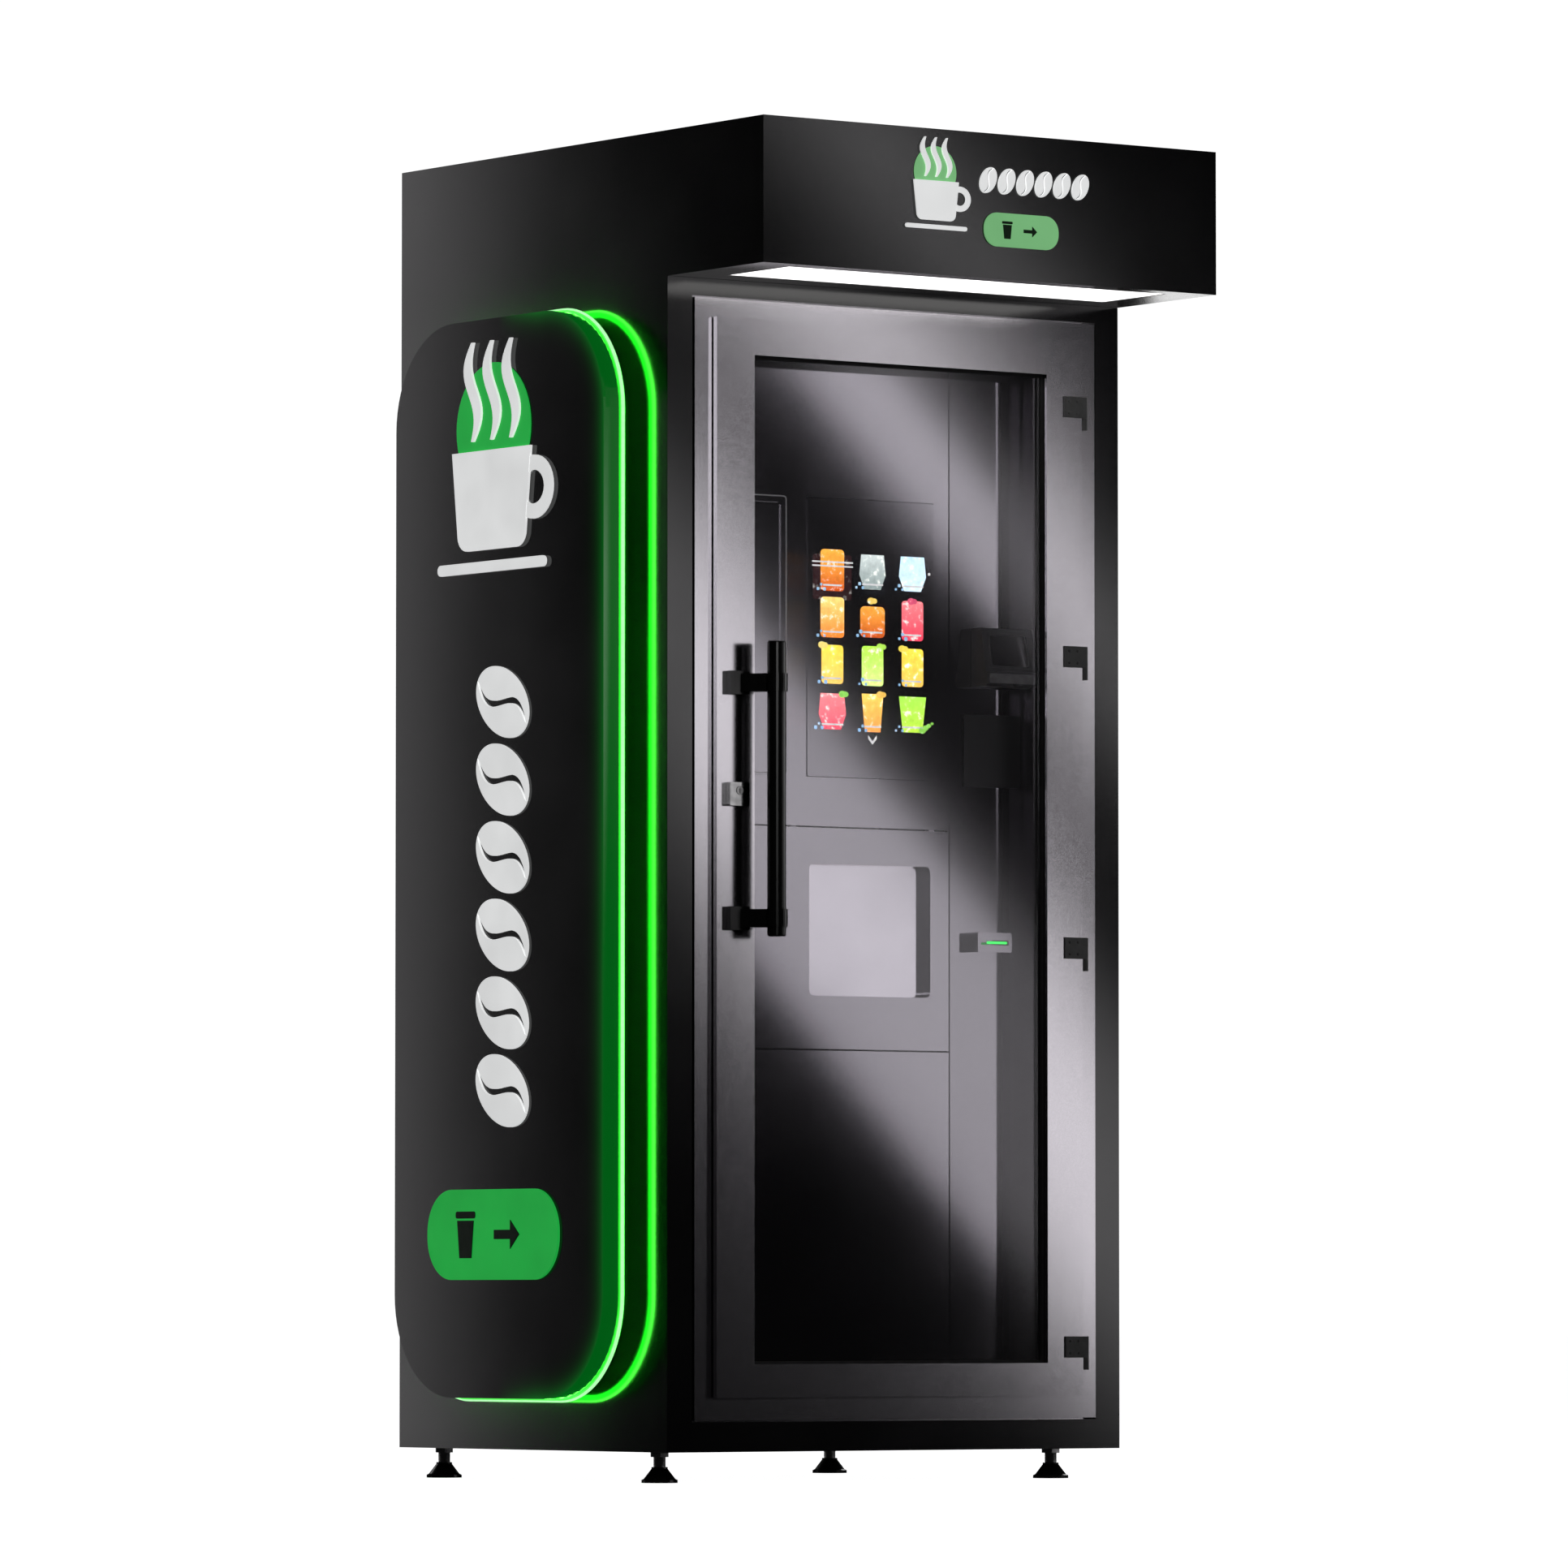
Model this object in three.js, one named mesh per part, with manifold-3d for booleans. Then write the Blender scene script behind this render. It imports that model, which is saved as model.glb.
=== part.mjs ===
// A free-standing hot coffee vending kiosk: a black sheet-metal cabinet with a lit canopy, a glazed hinged
// front door, the coffee machine behind it, a halo-lit sign on the left wall and four levelling feet.
// Millimetres, +X right, +Y back, +Z up. Every piece is drawn in cabinet coordinates: x = 0 on the cabinet's
// middle, y = 0 on its front face, z = 0 on the floor. The last lines move it to the footprint's centre.
import * as THREE from "three";
import { mergeVertices } from "three/addons/utils/BufferGeometryUtils.js";
import Module from "manifold-3d";

const wasm = await Module();
wasm.setup();

// ---- driving dimensions ---------------------------------------------------------------------------------
const WIDTH = 965; // cabinet, outside
const DEPTH = 818;
const BOTTOM = 53; // underside of the cabinet above the floor
const TOP = 2300;
const CANOPY_UNDERSIDE = 2051;
const OVERHANG = 280; // how far the canopy stands out in front of the door
const SHEET = 2; // sheet metal
const FOLD = 18; // depth of a folded panel's returns
const GAP = 0.3; // between pieces that touch

const HALF = WIDTH / 2;
const INNER = HALF - FOLD - GAP; // half width between the side panels

// Outlines on the front are [x0, x1, z0, z1].
const FRAME_OUTER = [-428, 428, 107, 2018];
const FRAME_INNER = [-372, 352, 174, 1955];
const FRAME_FRONT = -3;
const FRAME_BACK = 40;
const LEAF = [-391, 391, 145, 1985.5]; // the flange that laps over the frame
const LEAF_FRONT = -16;
const LEAF_BACK = -6;
const LEAF_BODY = { back: 8, clear: 4 }; // the leaf's thick part, inside the frame's opening
const WINDOW = [-312, 314, 202, 1923.5];
const HINGE = { x: 398, y: -12, plateEdge: 351, plate: 2.6, knuckle: 6.5, upper: 37, lower: 21 };
const HINGE_PIN = { radius: 3, clearance: 0.05, cover: 6, start: 8 }; // cover: solid metal over the bore
const HINGE_TOPS = { a: 1887.5, b: 1450.5, c: 942, d: 248 };
const HANDLE = { x: -351, low: 931.5, high: 1429, radius: 16, reach: 49.5, block: 31, collar: 3, arm: 16 };
const HANDLE_ARMS = { top: 1361, bottom: 959.5 };
const LOCK = { x: -352, z: 1171, size: 40, proud: 12, plug: 7, plugRise: 6, bore: 0.5 };
const KEYWAY = { half: 1, depth: 22, below: 4.5, above: 3.5 };
const LOCK_CASE = { left: 16, right: 24, back: 36, half: 50 };
const BOLT = { x: -366, length: 22, half: 8, y: [16, 26], z: LOCK.z - 12, throw: 14 };

const SIGN = { margin: 89.5, low: 142, high: 2008, corner: 178, thick: 34, standoff: 36, shell: 2.5 };
const HALO = { proud: 3, width: 9, thick: 8 }; // the LED strip behind the sign's edge
const SIGN_FRAME = { inset: 45, wall: 8 };

const MACHINE_FRONT = 58;
const BASE_HEIGHT = 30;
const MACHINE = { half: 440, back: 766, low: BOTTOM + BASE_HEIGHT + GAP, top: 1990, sheet: 3, skirt: 10 };
const CHASSIS = { y: 249, shelf: 1429, shelfFront: 98 }; // upright plate inside the machine, and its shelf
const HOSE_OPENING = [-340, -140, 700, 1000]; // in the upright plate
const PANEL_FOLD = 16;
const COLUMN_SEAM = 156; // between the wide front panels and the payment column
const PANEL_SEAMS = [741, 1124.5];
const SEAM = 1.4; // half of the shadow gap between panels
const SCREEN = [-149, 121, 1211.3, 1692.5];
const MENU = [-356, -194, 1211.3, 1694.5];
const NICHE = [-144, 115, 834, 1061];
const NICHE_RECESS = 21;
const HATCH = { lap: 11, thick: 4, travel: 230 };
const COVER_PLATE = [186, 309, 1203.3, 1329.3];

// ---- colours ---------------------------------------------------------------------------------------------
const paint = (color, roughness, metalness) =>
  new THREE.MeshStandardMaterial({ color, roughness, metalness });
const blackPaint = () => paint(0x141416, 0.5, 0.2);
const greyMetal = () => paint(0x6a676d, 0.4, 0.8);
const machinePaint = () => paint(0x8e8b92, 0.5, 0.1);
const blackPlastic = () => paint(0x0d0d0e, 0.35, 0);
const rubber = () => paint(0x080808, 0.85, 0);
const steel = () => paint(0xb5b8bb, 0.35, 0.9);
const glow = (color) => new THREE.MeshStandardMaterial({ color, emissive: color, roughness: 0.4 });

// ---- solids ----------------------------------------------------------------------------------------------
function solid(geometry) {
  const bare = geometry.clone();
  bare.deleteAttribute("normal");
  bare.deleteAttribute("uv");
  const merged = mergeVertices(bare, 1e-4);
  return new wasm.Manifold(
    new wasm.Mesh({
      numProp: 3,
      vertProperties: merged.attributes.position.array,
      triVerts: new Uint32Array(merged.index.array),
    }),
  );
}

function slab([x0, x1], [y0, y1], [z0, z1]) {
  const box = new THREE.BoxGeometry(x1 - x0, y1 - y0, z1 - z0);
  return solid(box.translate((x0 + x1) / 2, (y0 + y1) / 2, (z0 + z1) / 2));
}

// A round bar about an upright axis through (x, y); two radii make a cone.
function upright(x, y, [z0, z1], radius, topRadius = radius, sides = 24) {
  const bar = new THREE.CylinderGeometry(topRadius, radius, z1 - z0, sides);
  return solid(bar.rotateX(Math.PI / 2).translate(x, y, (z0 + z1) / 2));
}

// A round bar about a front-to-back axis through (x, z).
function level(x, z, [y0, y1], radius, sides = 24) {
  const bar = new THREE.CylinderGeometry(radius, radius, y1 - y0, sides);
  return solid(bar.translate(x, (y0 + y1) / 2, z));
}

function roundedRectangle([a0, a1, b0, b1], r, inset = 0) {
  const [l, h, d, u] = [a0 + inset, a1 - inset, b0 + inset, b1 - inset];
  const shape = new THREE.Shape();
  if (r <= 0) {
    return shape.moveTo(l, d).lineTo(h, d).lineTo(h, u).lineTo(l, u).closePath();
  }
  shape.absarc(h - r, d + r, r, -Math.PI / 2, 0);
  shape.absarc(h - r, u - r, r, 0, Math.PI / 2);
  shape.absarc(l + r, u - r, r, Math.PI / 2, Math.PI);
  shape.absarc(l + r, d + r, r, Math.PI, 1.5 * Math.PI);
  return shape.closePath();
}

const X = new THREE.Vector3(1, 0, 0);
const Y = new THREE.Vector3(0, 1, 0);
const Z = new THREE.Vector3(0, 0, 1);

// A shape drawn in (y, z) and pulled out along X.
function alongX(shape, [x0, x1], curveSegments = 8) {
  const bar = new THREE.ExtrudeGeometry(shape, { depth: x1 - x0, bevelEnabled: false, curveSegments });
  return solid(bar.applyMatrix4(new THREE.Matrix4().makeBasis(Y, Z, X)).translate(x0, 0, 0));
}

// A shape drawn in (x, z) and pulled out along Y.
function alongY(shape, [y0, y1], curveSegments = 6) {
  const bar = new THREE.ExtrudeGeometry(shape, { depth: y1 - y0, bevelEnabled: false, curveSegments });
  const basis = new THREE.Matrix4().makeBasis(X, Z, Y.clone().negate());
  return solid(bar.applyMatrix4(basis).translate(0, y1, 0));
}

const wall = (outline, span, r = 0, inset = 0) => alongY(roundedRectangle(outline, r, inset), span);

function ring(outer, inner, span, outerInset = 0, innerInset = 0, r = 0) {
  return wall(outer, span, 0, outerInset).subtract(wall(inner, [span[0] - 1, span[1] + 1], r, innerInset));
}

// A sheet panel facing -Y: a skin with its edges folded back, hollow behind.
function foldedFront([x0, x1, z0, z1], front, fold = PANEL_FOLD) {
  const tray = wall([x0, x1, z0, z1], [front, front + fold]);
  return tray.subtract(wall([x0, x1, z0, z1], [front + SHEET, front + fold + 1], 0, SHEET));
}

// ---- scene -----------------------------------------------------------------------------------------------
const kiosk = new THREE.Group();

function add(group, name, body, material, position = [0, 0, 0]) {
  const made = body.getMesh();
  const geometry = new THREE.BufferGeometry();
  geometry.setAttribute("position", new THREE.BufferAttribute(new Float32Array(made.vertProperties), 3));
  geometry.setIndex(new THREE.BufferAttribute(new Uint32Array(made.triVerts), 1));
  geometry.computeVertexNormals();
  const mesh = new THREE.Mesh(geometry, material);
  mesh.name = name;
  mesh.position.set(...position);
  group.add(mesh);
}

// ---- cabinet ---------------------------------------------------------------------------------------------
const FOOT = { x: 418, front: 114, back: DEPTH - 45, stem: 10, boss: 22, socket: 24 };
const BELL = { pad: 31, rim: 5, slope: 4, neck: 14, height: 27 };
const footPlaces = {
  front_left: [-FOOT.x, FOOT.front],
  front_right: [FOOT.x, FOOT.front],
  back_left: [-FOOT.x, FOOT.back],
  back_right: [FOOT.x, FOOT.back],
};

// A tray turned upside down, with a boss over each foot that holds the foot's threaded stem.
function baseFrame() {
  const y = [FOLD + GAP, DEPTH - FOLD - GAP];
  const deck = slab([-INNER, INNER], y, [BOTTOM, BOTTOM + BASE_HEIGHT]);
  const edge = 3;
  const hollow = slab(
    [-INNER + edge, INNER - edge],
    [y[0] + edge, y[1] - edge],
    [BOTTOM - 1, BOTTOM + BASE_HEIGHT - edge],
  );
  let base = deck.subtract(hollow);
  for (const [x, y] of Object.values(footPlaces)) {
    base = base.add(upright(x, y, [BOTTOM, BOTTOM + BASE_HEIGHT - 1], FOOT.boss));
    base = base.subtract(upright(x, y, [BOTTOM - 1, BOTTOM + FOOT.socket], FOOT.stem + GAP));
  }
  return base;
}

// A rubber-faced bell foot on a threaded stem.
function foot() {
  const stemTop = BOTTOM + FOOT.socket - 1;
  const profile = [
    [0, 0],
    [BELL.pad, 0],
    [BELL.pad, BELL.rim],
    [BELL.pad - BELL.slope, BELL.rim + 2],
    [BELL.neck, BELL.height - 3],
    [BELL.neck, BELL.height],
    [FOOT.stem, BELL.height],
    [FOOT.stem, stemTop],
    [0, stemTop],
  ].map(([radius, height]) => new THREE.Vector2(radius, height));
  return solid(new THREE.LatheGeometry(profile, 28).rotateX(Math.PI / 2));
}

// One sheet covers the cabinet's side and the canopy's end; its edges fold inwards.
function sideOutline(inset) {
  const front = FOLD + GAP;
  const canopyFront = -OVERHANG + FOLD + GAP;
  return new THREE.Shape()
    .moveTo(front + inset, BOTTOM + inset)
    .lineTo(DEPTH - inset, BOTTOM + inset)
    .lineTo(DEPTH - inset, TOP - inset)
    .lineTo(canopyFront + inset, TOP - inset)
    .lineTo(canopyFront + inset, CANOPY_UNDERSIDE + inset)
    .lineTo(front + inset, CANOPY_UNDERSIDE + inset)
    .closePath();
}

function sidePanel(side) {
  const skin = side * HALF;
  const folded = side * (HALF - FOLD);
  const hollowFrom = side * (HALF - SHEET);
  const hollowTo = side * (HALF - FOLD - 1);
  const span = (a, b) => [Math.min(a, b), Math.max(a, b)];
  const sheet = alongX(sideOutline(0), span(skin, folded));
  return sheet.subtract(alongX(sideOutline(SHEET), span(hollowFrom, hollowTo)));
}

const FAN = { z: 2130, half: 60, bore: 54, front: 762, arm: 3, armThick: 4 };
const ROTOR = { blades: 7, hub: 18, root: 16, tipGap: 3, from: 6, to: 28, chord: 20, thick: 1.6, pitch: 0.6 };
const INTAKE = { low: 250, rows: 9, pitch: 26, half: 150, slot: 9 };
const OUTLET = { rows: 5, pitch: 20, half: 45, slot: 9 };

// The back sheet, with intake slots low down and outlet slots behind the fan.
function backPanel() {
  const front = DEPTH - FOLD;
  let panel = slab([-INNER, INNER], [front, DEPTH], [BOTTOM, TOP]);
  panel = panel.subtract(
    slab([-INNER + SHEET, INNER - SHEET], [front - 1, DEPTH - SHEET], [BOTTOM + SHEET, TOP - SHEET]),
  );
  const slots = (rows, pitch, low, half, slot) => {
    for (let row = 0; row < rows; row++) {
      const z = low + row * pitch;
      panel = panel.subtract(slab([-half, half], [DEPTH - SHEET - 1, DEPTH + 1], [z, z + slot]));
    }
  };
  slots(INTAKE.rows, INTAKE.pitch, INTAKE.low, INTAKE.half, INTAKE.slot);
  const outletLow = FAN.z - (OUTLET.rows - 1) * OUTLET.pitch * 0.5 - OUTLET.slot / 2;
  slots(OUTLET.rows, OUTLET.pitch, outletLow, OUTLET.half, OUTLET.slot);
  return panel;
}

function roofPanel() {
  const y = [-OVERHANG + FOLD + GAP, DEPTH - FOLD - GAP];
  const skin = slab([-INNER, INNER], y, [TOP - FOLD, TOP]);
  const hollow = slab(
    [-INNER + SHEET, INNER - SHEET],
    [y[0] + SHEET, y[1] - SHEET],
    [TOP - FOLD - 1, TOP - SHEET],
  );
  return skin.subtract(hollow);
}

const LIGHT = { x: 402, front: -242, back: -62, rise: 1, board: 4, lap: 14, tray: 45 };

// The canopy's underside, with the opening that the light panel fills.
function canopySoffit() {
  const y = [-OVERHANG + FOLD + GAP, FOLD - GAP];
  const top = CANOPY_UNDERSIDE + LIGHT.board;
  const board = slab([-INNER, INNER], y, [CANOPY_UNDERSIDE, top]);
  const through = [CANOPY_UNDERSIDE - 1, top + 1];
  return board.subtract(slab([-LIGHT.x, LIGHT.x], [LIGHT.front, LIGHT.back], through));
}

// The opal sheet that closes the opening, a little above the board's underside.
function lightPanel() {
  return slab(
    [-LIGHT.x + GAP, LIGHT.x - GAP],
    [LIGHT.front + GAP, LIGHT.back - GAP],
    [CANOPY_UNDERSIDE + LIGHT.rise, CANOPY_UNDERSIDE + LIGHT.board + 1],
  );
}

function lampTray() {
  const low = CANOPY_UNDERSIDE + LIGHT.board + GAP;
  const high = low + LIGHT.tray;
  const half = LIGHT.x + LIGHT.lap;
  const y = [LIGHT.front - LIGHT.lap, LIGHT.back + LIGHT.lap];
  const hollow = slab([SHEET - half, half - SHEET], [y[0] + SHEET, y[1] - SHEET], [low - 1, high - SHEET]);
  return slab([-half, half], y, [low, high]).subtract(hollow);
}

// The black sheet round the door frame, folded back at its outer edge and at its opening.
const SURROUND_CLEAR = 3; // black gap between the sheet and the frame
function frontSurround() {
  const outer = [-HALF, HALF, BOTTOM, CANOPY_UNDERSIDE - GAP];
  const skin = ring(outer, FRAME_OUTER, [0, FOLD], 0, -SURROUND_CLEAR);
  const hollow = ring(outer, FRAME_OUTER, [SHEET, FOLD + 1], SHEET, -SURROUND_CLEAR - SHEET);
  return skin.subtract(hollow);
}

// Fixed frame: a channel open at the back, a flange that screws behind the surround, and the bolt's pocket.
const FRAME = { wall: 4, flange: 18, flangeThick: 4.7, pocketClear: 3 };
function doorFrame() {
  const { wall: thick, flange, pocketClear: clear } = FRAME;
  const body = ring(FRAME_OUTER, FRAME_INNER, [FRAME_FRONT, FRAME_BACK]);
  const hollow = ring(FRAME_OUTER, FRAME_INNER, [FRAME_FRONT + thick, FRAME_BACK + 1], thick, -thick);
  const flangeFront = FOLD + GAP;
  const lip = ring(FRAME_OUTER, FRAME_OUTER, [flangeFront, flangeFront + FRAME.flangeThick], -flange, 2);
  const pocket = slab(
    [BOLT.x - BOLT.throw - clear, FRAME_INNER[0] + 1],
    [BOLT.y[0] - clear, BOLT.y[1] + clear],
    [BOLT.z - BOLT.half - clear, BOLT.z + BOLT.half + clear],
  );
  return body.subtract(hollow).add(lip).subtract(pocket);
}

function buildCabinet() {
  const cabinet = new THREE.Group();
  kiosk.add(cabinet);
  add(cabinet, "base_frame", baseFrame(), blackPaint());
  for (const [place, [x, y]] of Object.entries(footPlaces)) {
    add(cabinet, `foot_${place}`, foot(), blackPlastic(), [x, y, 0]);
  }
  add(cabinet, "left_side_panel", sidePanel(-1), blackPaint());
  add(cabinet, "right_side_panel", sidePanel(1), blackPaint());
  add(cabinet, "back_panel", backPanel(), blackPaint());
  add(cabinet, "roof_panel", roofPanel(), blackPaint());
  const fascia = [-HALF, HALF, CANOPY_UNDERSIDE, TOP];
  add(cabinet, "canopy_fascia", foldedFront(fascia, -OVERHANG, FOLD), blackPaint());
  add(cabinet, "canopy_soffit", canopySoffit(), blackPaint());
  add(cabinet, "canopy_light_panel", lightPanel(), glow(0xffffff));
  add(cabinet, "canopy_lamp_tray", lampTray(), steel());
  add(cabinet, "front_surround", frontSurround(), blackPaint());
  add(cabinet, "door_frame", doorFrame(), greyMetal());
}

// ---- door ------------------------------------------------------------------------------------------------
const GLASS = { lap: 10, thick: 6, setback: 14.3, lip: 12, sight: 5 };

// A flange that laps over the frame, and a thicker body inside the frame's opening with the pane's rebate.
function doorLeaf() {
  const { back, clear } = LEAF_BODY;
  const flange = ring(LEAF, WINDOW, [LEAF_FRONT, LEAF_BACK]);
  const body = ring(FRAME_INNER, WINDOW, [LEAF_FRONT + 1, back], clear);
  const rebate = wall(WINDOW, [LEAF_FRONT + GLASS.lip, back + 1], 0, -GLASS.lap);
  const bore = level(LOCK.x, LOCK.z + LOCK.plugRise, [LEAF_FRONT - 1, back + 1], LOCK.plug + 1.5);
  return flange.add(body).subtract(rebate).subtract(bore);
}

// The rubber channel that grips the pane's edge and seats it in the leaf.
function glassGasket() {
  const front = LEAF_FRONT + GLASS.lip + GAP;
  const channel = ring(WINDOW, WINDOW, [front, LEAF_BODY.back], -GLASS.lap + GAP, GLASS.sight);
  const paneFront = LEAF_FRONT + GLASS.setback;
  const bed = wall(WINDOW, [paneFront - GAP, paneFront + GLASS.thick + GAP], 0, -GLASS.lap / 2 - GAP);
  return channel.subtract(bed);
}

function hingeUpper() {
  const back = LEAF_FRONT - GAP - HINGE.y;
  const plate = slab([HINGE.plateEdge - HINGE.x, 0], [back - HINGE.plate, back], [-HINGE.upper, 0]);
  const knuckle = upright(0, 0, [-HINGE.upper, 0], HINGE.knuckle);
  const boreRadius = HINGE_PIN.radius + HINGE_PIN.clearance;
  return plate.add(knuckle).subtract(upright(0, 0, [-HINGE.upper - 1, -HINGE_PIN.cover], boreRadius));
}

function hingeLower() {
  const top = -HINGE.upper - GAP;
  const low = -HINGE.upper - HINGE.lower;
  const knuckle = upright(0, 0, [low, top], HINGE.knuckle);
  const leg = slab([0.5, HINGE.knuckle], [0, FRAME_FRONT - GAP - HINGE.y], [low, top]);
  const pin = upright(0, 0, [low + 1, -HINGE_PIN.start], HINGE_PIN.radius);
  return knuckle.add(leg).add(pin);
}

// A square rose on the leaf, and a block that runs out at 45 degrees to a ring round the pull tube.
function handleArm() {
  const half = HANDLE.block / 2;
  const reach = HANDLE.reach;
  const arm = new THREE.BoxGeometry(reach * Math.SQRT2, HANDLE.arm, HANDLE.block);
  arm.rotateZ(-Math.PI / 4).translate(reach / 2, -reach / 2, 0);
  const roseHalf = LOCK.size / 2;
  const rose = slab([-roseHalf, roseHalf], [-LOCK.proud, 0], [-roseHalf, roseHalf]);
  const outside = HANDLE.radius + HANDLE.collar;
  const collar = upright(reach, -reach, [-half, half], outside, outside, 28);
  const behind = slab([-reach, reach], [0, reach], [-reach, reach]);
  const inside = HANDLE.radius + GAP;
  const bore = upright(reach, -reach, [-half - 1, half + 1], inside, inside, 28);
  return rose.add(solid(arm)).subtract(behind).add(collar).subtract(bore);
}

function lockEscutcheon() {
  const half = LOCK.size / 2;
  const front = LEAF_FRONT - GAP - LOCK.proud;
  const outline = [LOCK.x - half, LOCK.x + half, LOCK.z - half, LOCK.z + half];
  const body = wall(outline, [front, LEAF_FRONT - GAP], 2);
  return body.subtract(level(LOCK.x, LOCK.z + LOCK.plugRise, [front - 1, LEAF_FRONT], LOCK.plug + LOCK.bore));
}

// The case behind the leaf, with a channel that the bolt slides in and a bore for the plug.
function lockCase() {
  const x = [LOCK.x - LOCK_CASE.left, LOCK.x + LOCK_CASE.right];
  const z = [LOCK.z - LOCK_CASE.half, LOCK.z + LOCK_CASE.half];
  const shell = slab(x, [LEAF_BODY.back + GAP, LOCK_CASE.back], z);
  const channel = slab(
    [x[0] - 1, BOLT.x + BOLT.length + 1],
    [BOLT.y[0] - GAP, BOLT.y[1] + GAP],
    [BOLT.z - BOLT.half - GAP, BOLT.z + BOLT.half + GAP],
  );
  const boreSpan = [LEAF_BODY.back, LOCK_CASE.back - 3];
  const bore = level(LOCK.x, LOCK.z + LOCK.plugRise, boreSpan, LOCK.plug + LOCK.bore);
  return shell.subtract(channel).subtract(bore);
}

// The round plug that the key turns, with its keyway.
function lockPlug() {
  const front = LEAF_FRONT - GAP - LOCK.proud - 1;
  const z = LOCK.z + LOCK.plugRise;
  const plug = level(LOCK.x, z, [front, LOCK_CASE.back - 6], LOCK.plug);
  const keyway = slab(
    [LOCK.x - KEYWAY.half, LOCK.x + KEYWAY.half],
    [front - 1, front + KEYWAY.depth],
    [z - KEYWAY.below, z + KEYWAY.above],
  );
  return plug.subtract(keyway);
}

function buildDoor() {
  const door = new THREE.Group();
  kiosk.add(door);
  add(door, "door_leaf", doorLeaf(), greyMetal());
  const paneFront = LEAF_FRONT + GLASS.setback;
  const pane = wall(WINDOW, [paneFront, paneFront + GLASS.thick], 0, -GLASS.lap / 2);
  add(door, "door_glass", pane, new THREE.MeshStandardMaterial({ color: 0x20242a, roughness: 0.1 }));
  add(door, "glass_gasket", glassGasket(), rubber());
  const seal = ring(LEAF, FRAME_INNER, [LEAF_BACK + GAP, FRAME_FRONT - GAP], 3, -6);
  add(door, "door_seal", seal, rubber());
  for (const [letter, z] of Object.entries(HINGE_TOPS)) {
    add(door, `hinge_${letter}_leaf_half`, hingeUpper(), blackPaint(), [HINGE.x, HINGE.y, z]);
    add(door, `hinge_${letter}_frame_half`, hingeLower(), blackPaint(), [HINGE.x, HINGE.y, z]);
  }
  const tubeX = HANDLE.x + HANDLE.reach;
  const tubeY = LEAF_FRONT - GAP - HANDLE.reach;
  const tube = upright(tubeX, tubeY, [HANDLE.low, HANDLE.high], HANDLE.radius, HANDLE.radius, 28);
  add(door, "handle_tube", tube, blackPlastic());
  for (const [end, z] of Object.entries(HANDLE_ARMS)) {
    add(door, `handle_arm_${end}`, handleArm(), blackPlastic(), [HANDLE.x, LEAF_FRONT - GAP, z]);
  }
  add(door, "lock_escutcheon", lockEscutcheon(), paint(0x101012, 0.15, 0.9));
  add(door, "lock_case", lockCase(), steel());
  add(door, "lock_plug", lockPlug(), steel());
  const bolt = slab([BOLT.x, BOLT.x + BOLT.length], BOLT.y, [BOLT.z - BOLT.half, BOLT.z + BOLT.half]);
  add(door, "lock_bolt", bolt, steel());
}

// ---- sign on the left wall -------------------------------------------------------------------------------
// A tray with its open side to the wall, an LED strip against its rim, and a frame inside that carries it.
function buildSign() {
  const sign = new THREE.Group();
  sign.position.set(-HALF, 0, 0);
  kiosk.add(sign);
  const outline = [SIGN.margin, DEPTH - SIGN.margin, SIGN.low, SIGN.high];
  const rounded = (inset, span) => alongX(roundedRectangle(outline, SIGN.corner - inset, inset), span, 8);
  const band = (outer, inner, [x0, x1]) =>
    rounded(outer, [x0, x1]).subtract(rounded(inner, [x0 - 1, x1 + 1]));
  const rim = -SIGN.standoff;
  const face = rim - SIGN.thick;
  const plate = rounded(0, [face, rim]).subtract(rounded(SIGN.shell, [face + SIGN.shell, rim + 1]));
  add(sign, "sign_plate", plate, blackPaint());
  const strip = band(-HALO.proud, HALO.width - HALO.proud, [rim + GAP, rim + HALO.thick]);
  add(sign, "sign_led_strip", strip, glow(0x19e53a));
  const frame = band(SIGN_FRAME.inset, SIGN_FRAME.inset + SIGN_FRAME.wall, [face + SIGN.shell + GAP, -GAP]);
  add(sign, "sign_back_frame", frame, blackPaint());
}

// ---- coffee machine --------------------------------------------------------------------------------------
const BAND_LEFT = [-MACHINE.half, COLUMN_SEAM - SEAM];

// The sheet carcass, open at the front, with an upright chassis plate and the shelf over it. Hoses and cables
// pass through the opening in the plate.
function machineCase() {
  const sheet = MACHINE.sheet;
  const y = [MACHINE_FRONT + PANEL_FOLD + GAP, MACHINE.back];
  const shell = slab([-MACHINE.half, MACHINE.half], y, [MACHINE.low, MACHINE.top]);
  const inside = [-MACHINE.half + sheet, MACHINE.half - sheet];
  const hollow = slab(inside, [y[0] - 1, y[1] - sheet], [MACHINE.low + sheet, MACHINE.top - sheet]);
  const overlap = 1;
  const across = [inside[0] - overlap, inside[1] + overlap];
  const plate = slab(across, [CHASSIS.y, CHASSIS.y + sheet], [MACHINE.low + overlap, CHASSIS.shelf]);
  const shelf = slab(across, [CHASSIS.shelfFront, y[1] - overlap], [CHASSIS.shelf - sheet, CHASSIS.shelf]);
  const opening = wall(HOSE_OPENING, [CHASSIS.y - 1, CHASSIS.y + sheet + 1]);
  return shell.subtract(hollow).add(plate).add(shelf).subtract(opening);
}

function upperPanel() {
  const panel = foldedFront([...BAND_LEFT, PANEL_SEAMS[1] + SEAM, MACHINE.top], MACHINE_FRONT);
  return panel.subtract(wall(SCREEN, [MACHINE_FRONT - 1, MACHINE_FRONT + PANEL_FOLD], 0, -1));
}

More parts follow.
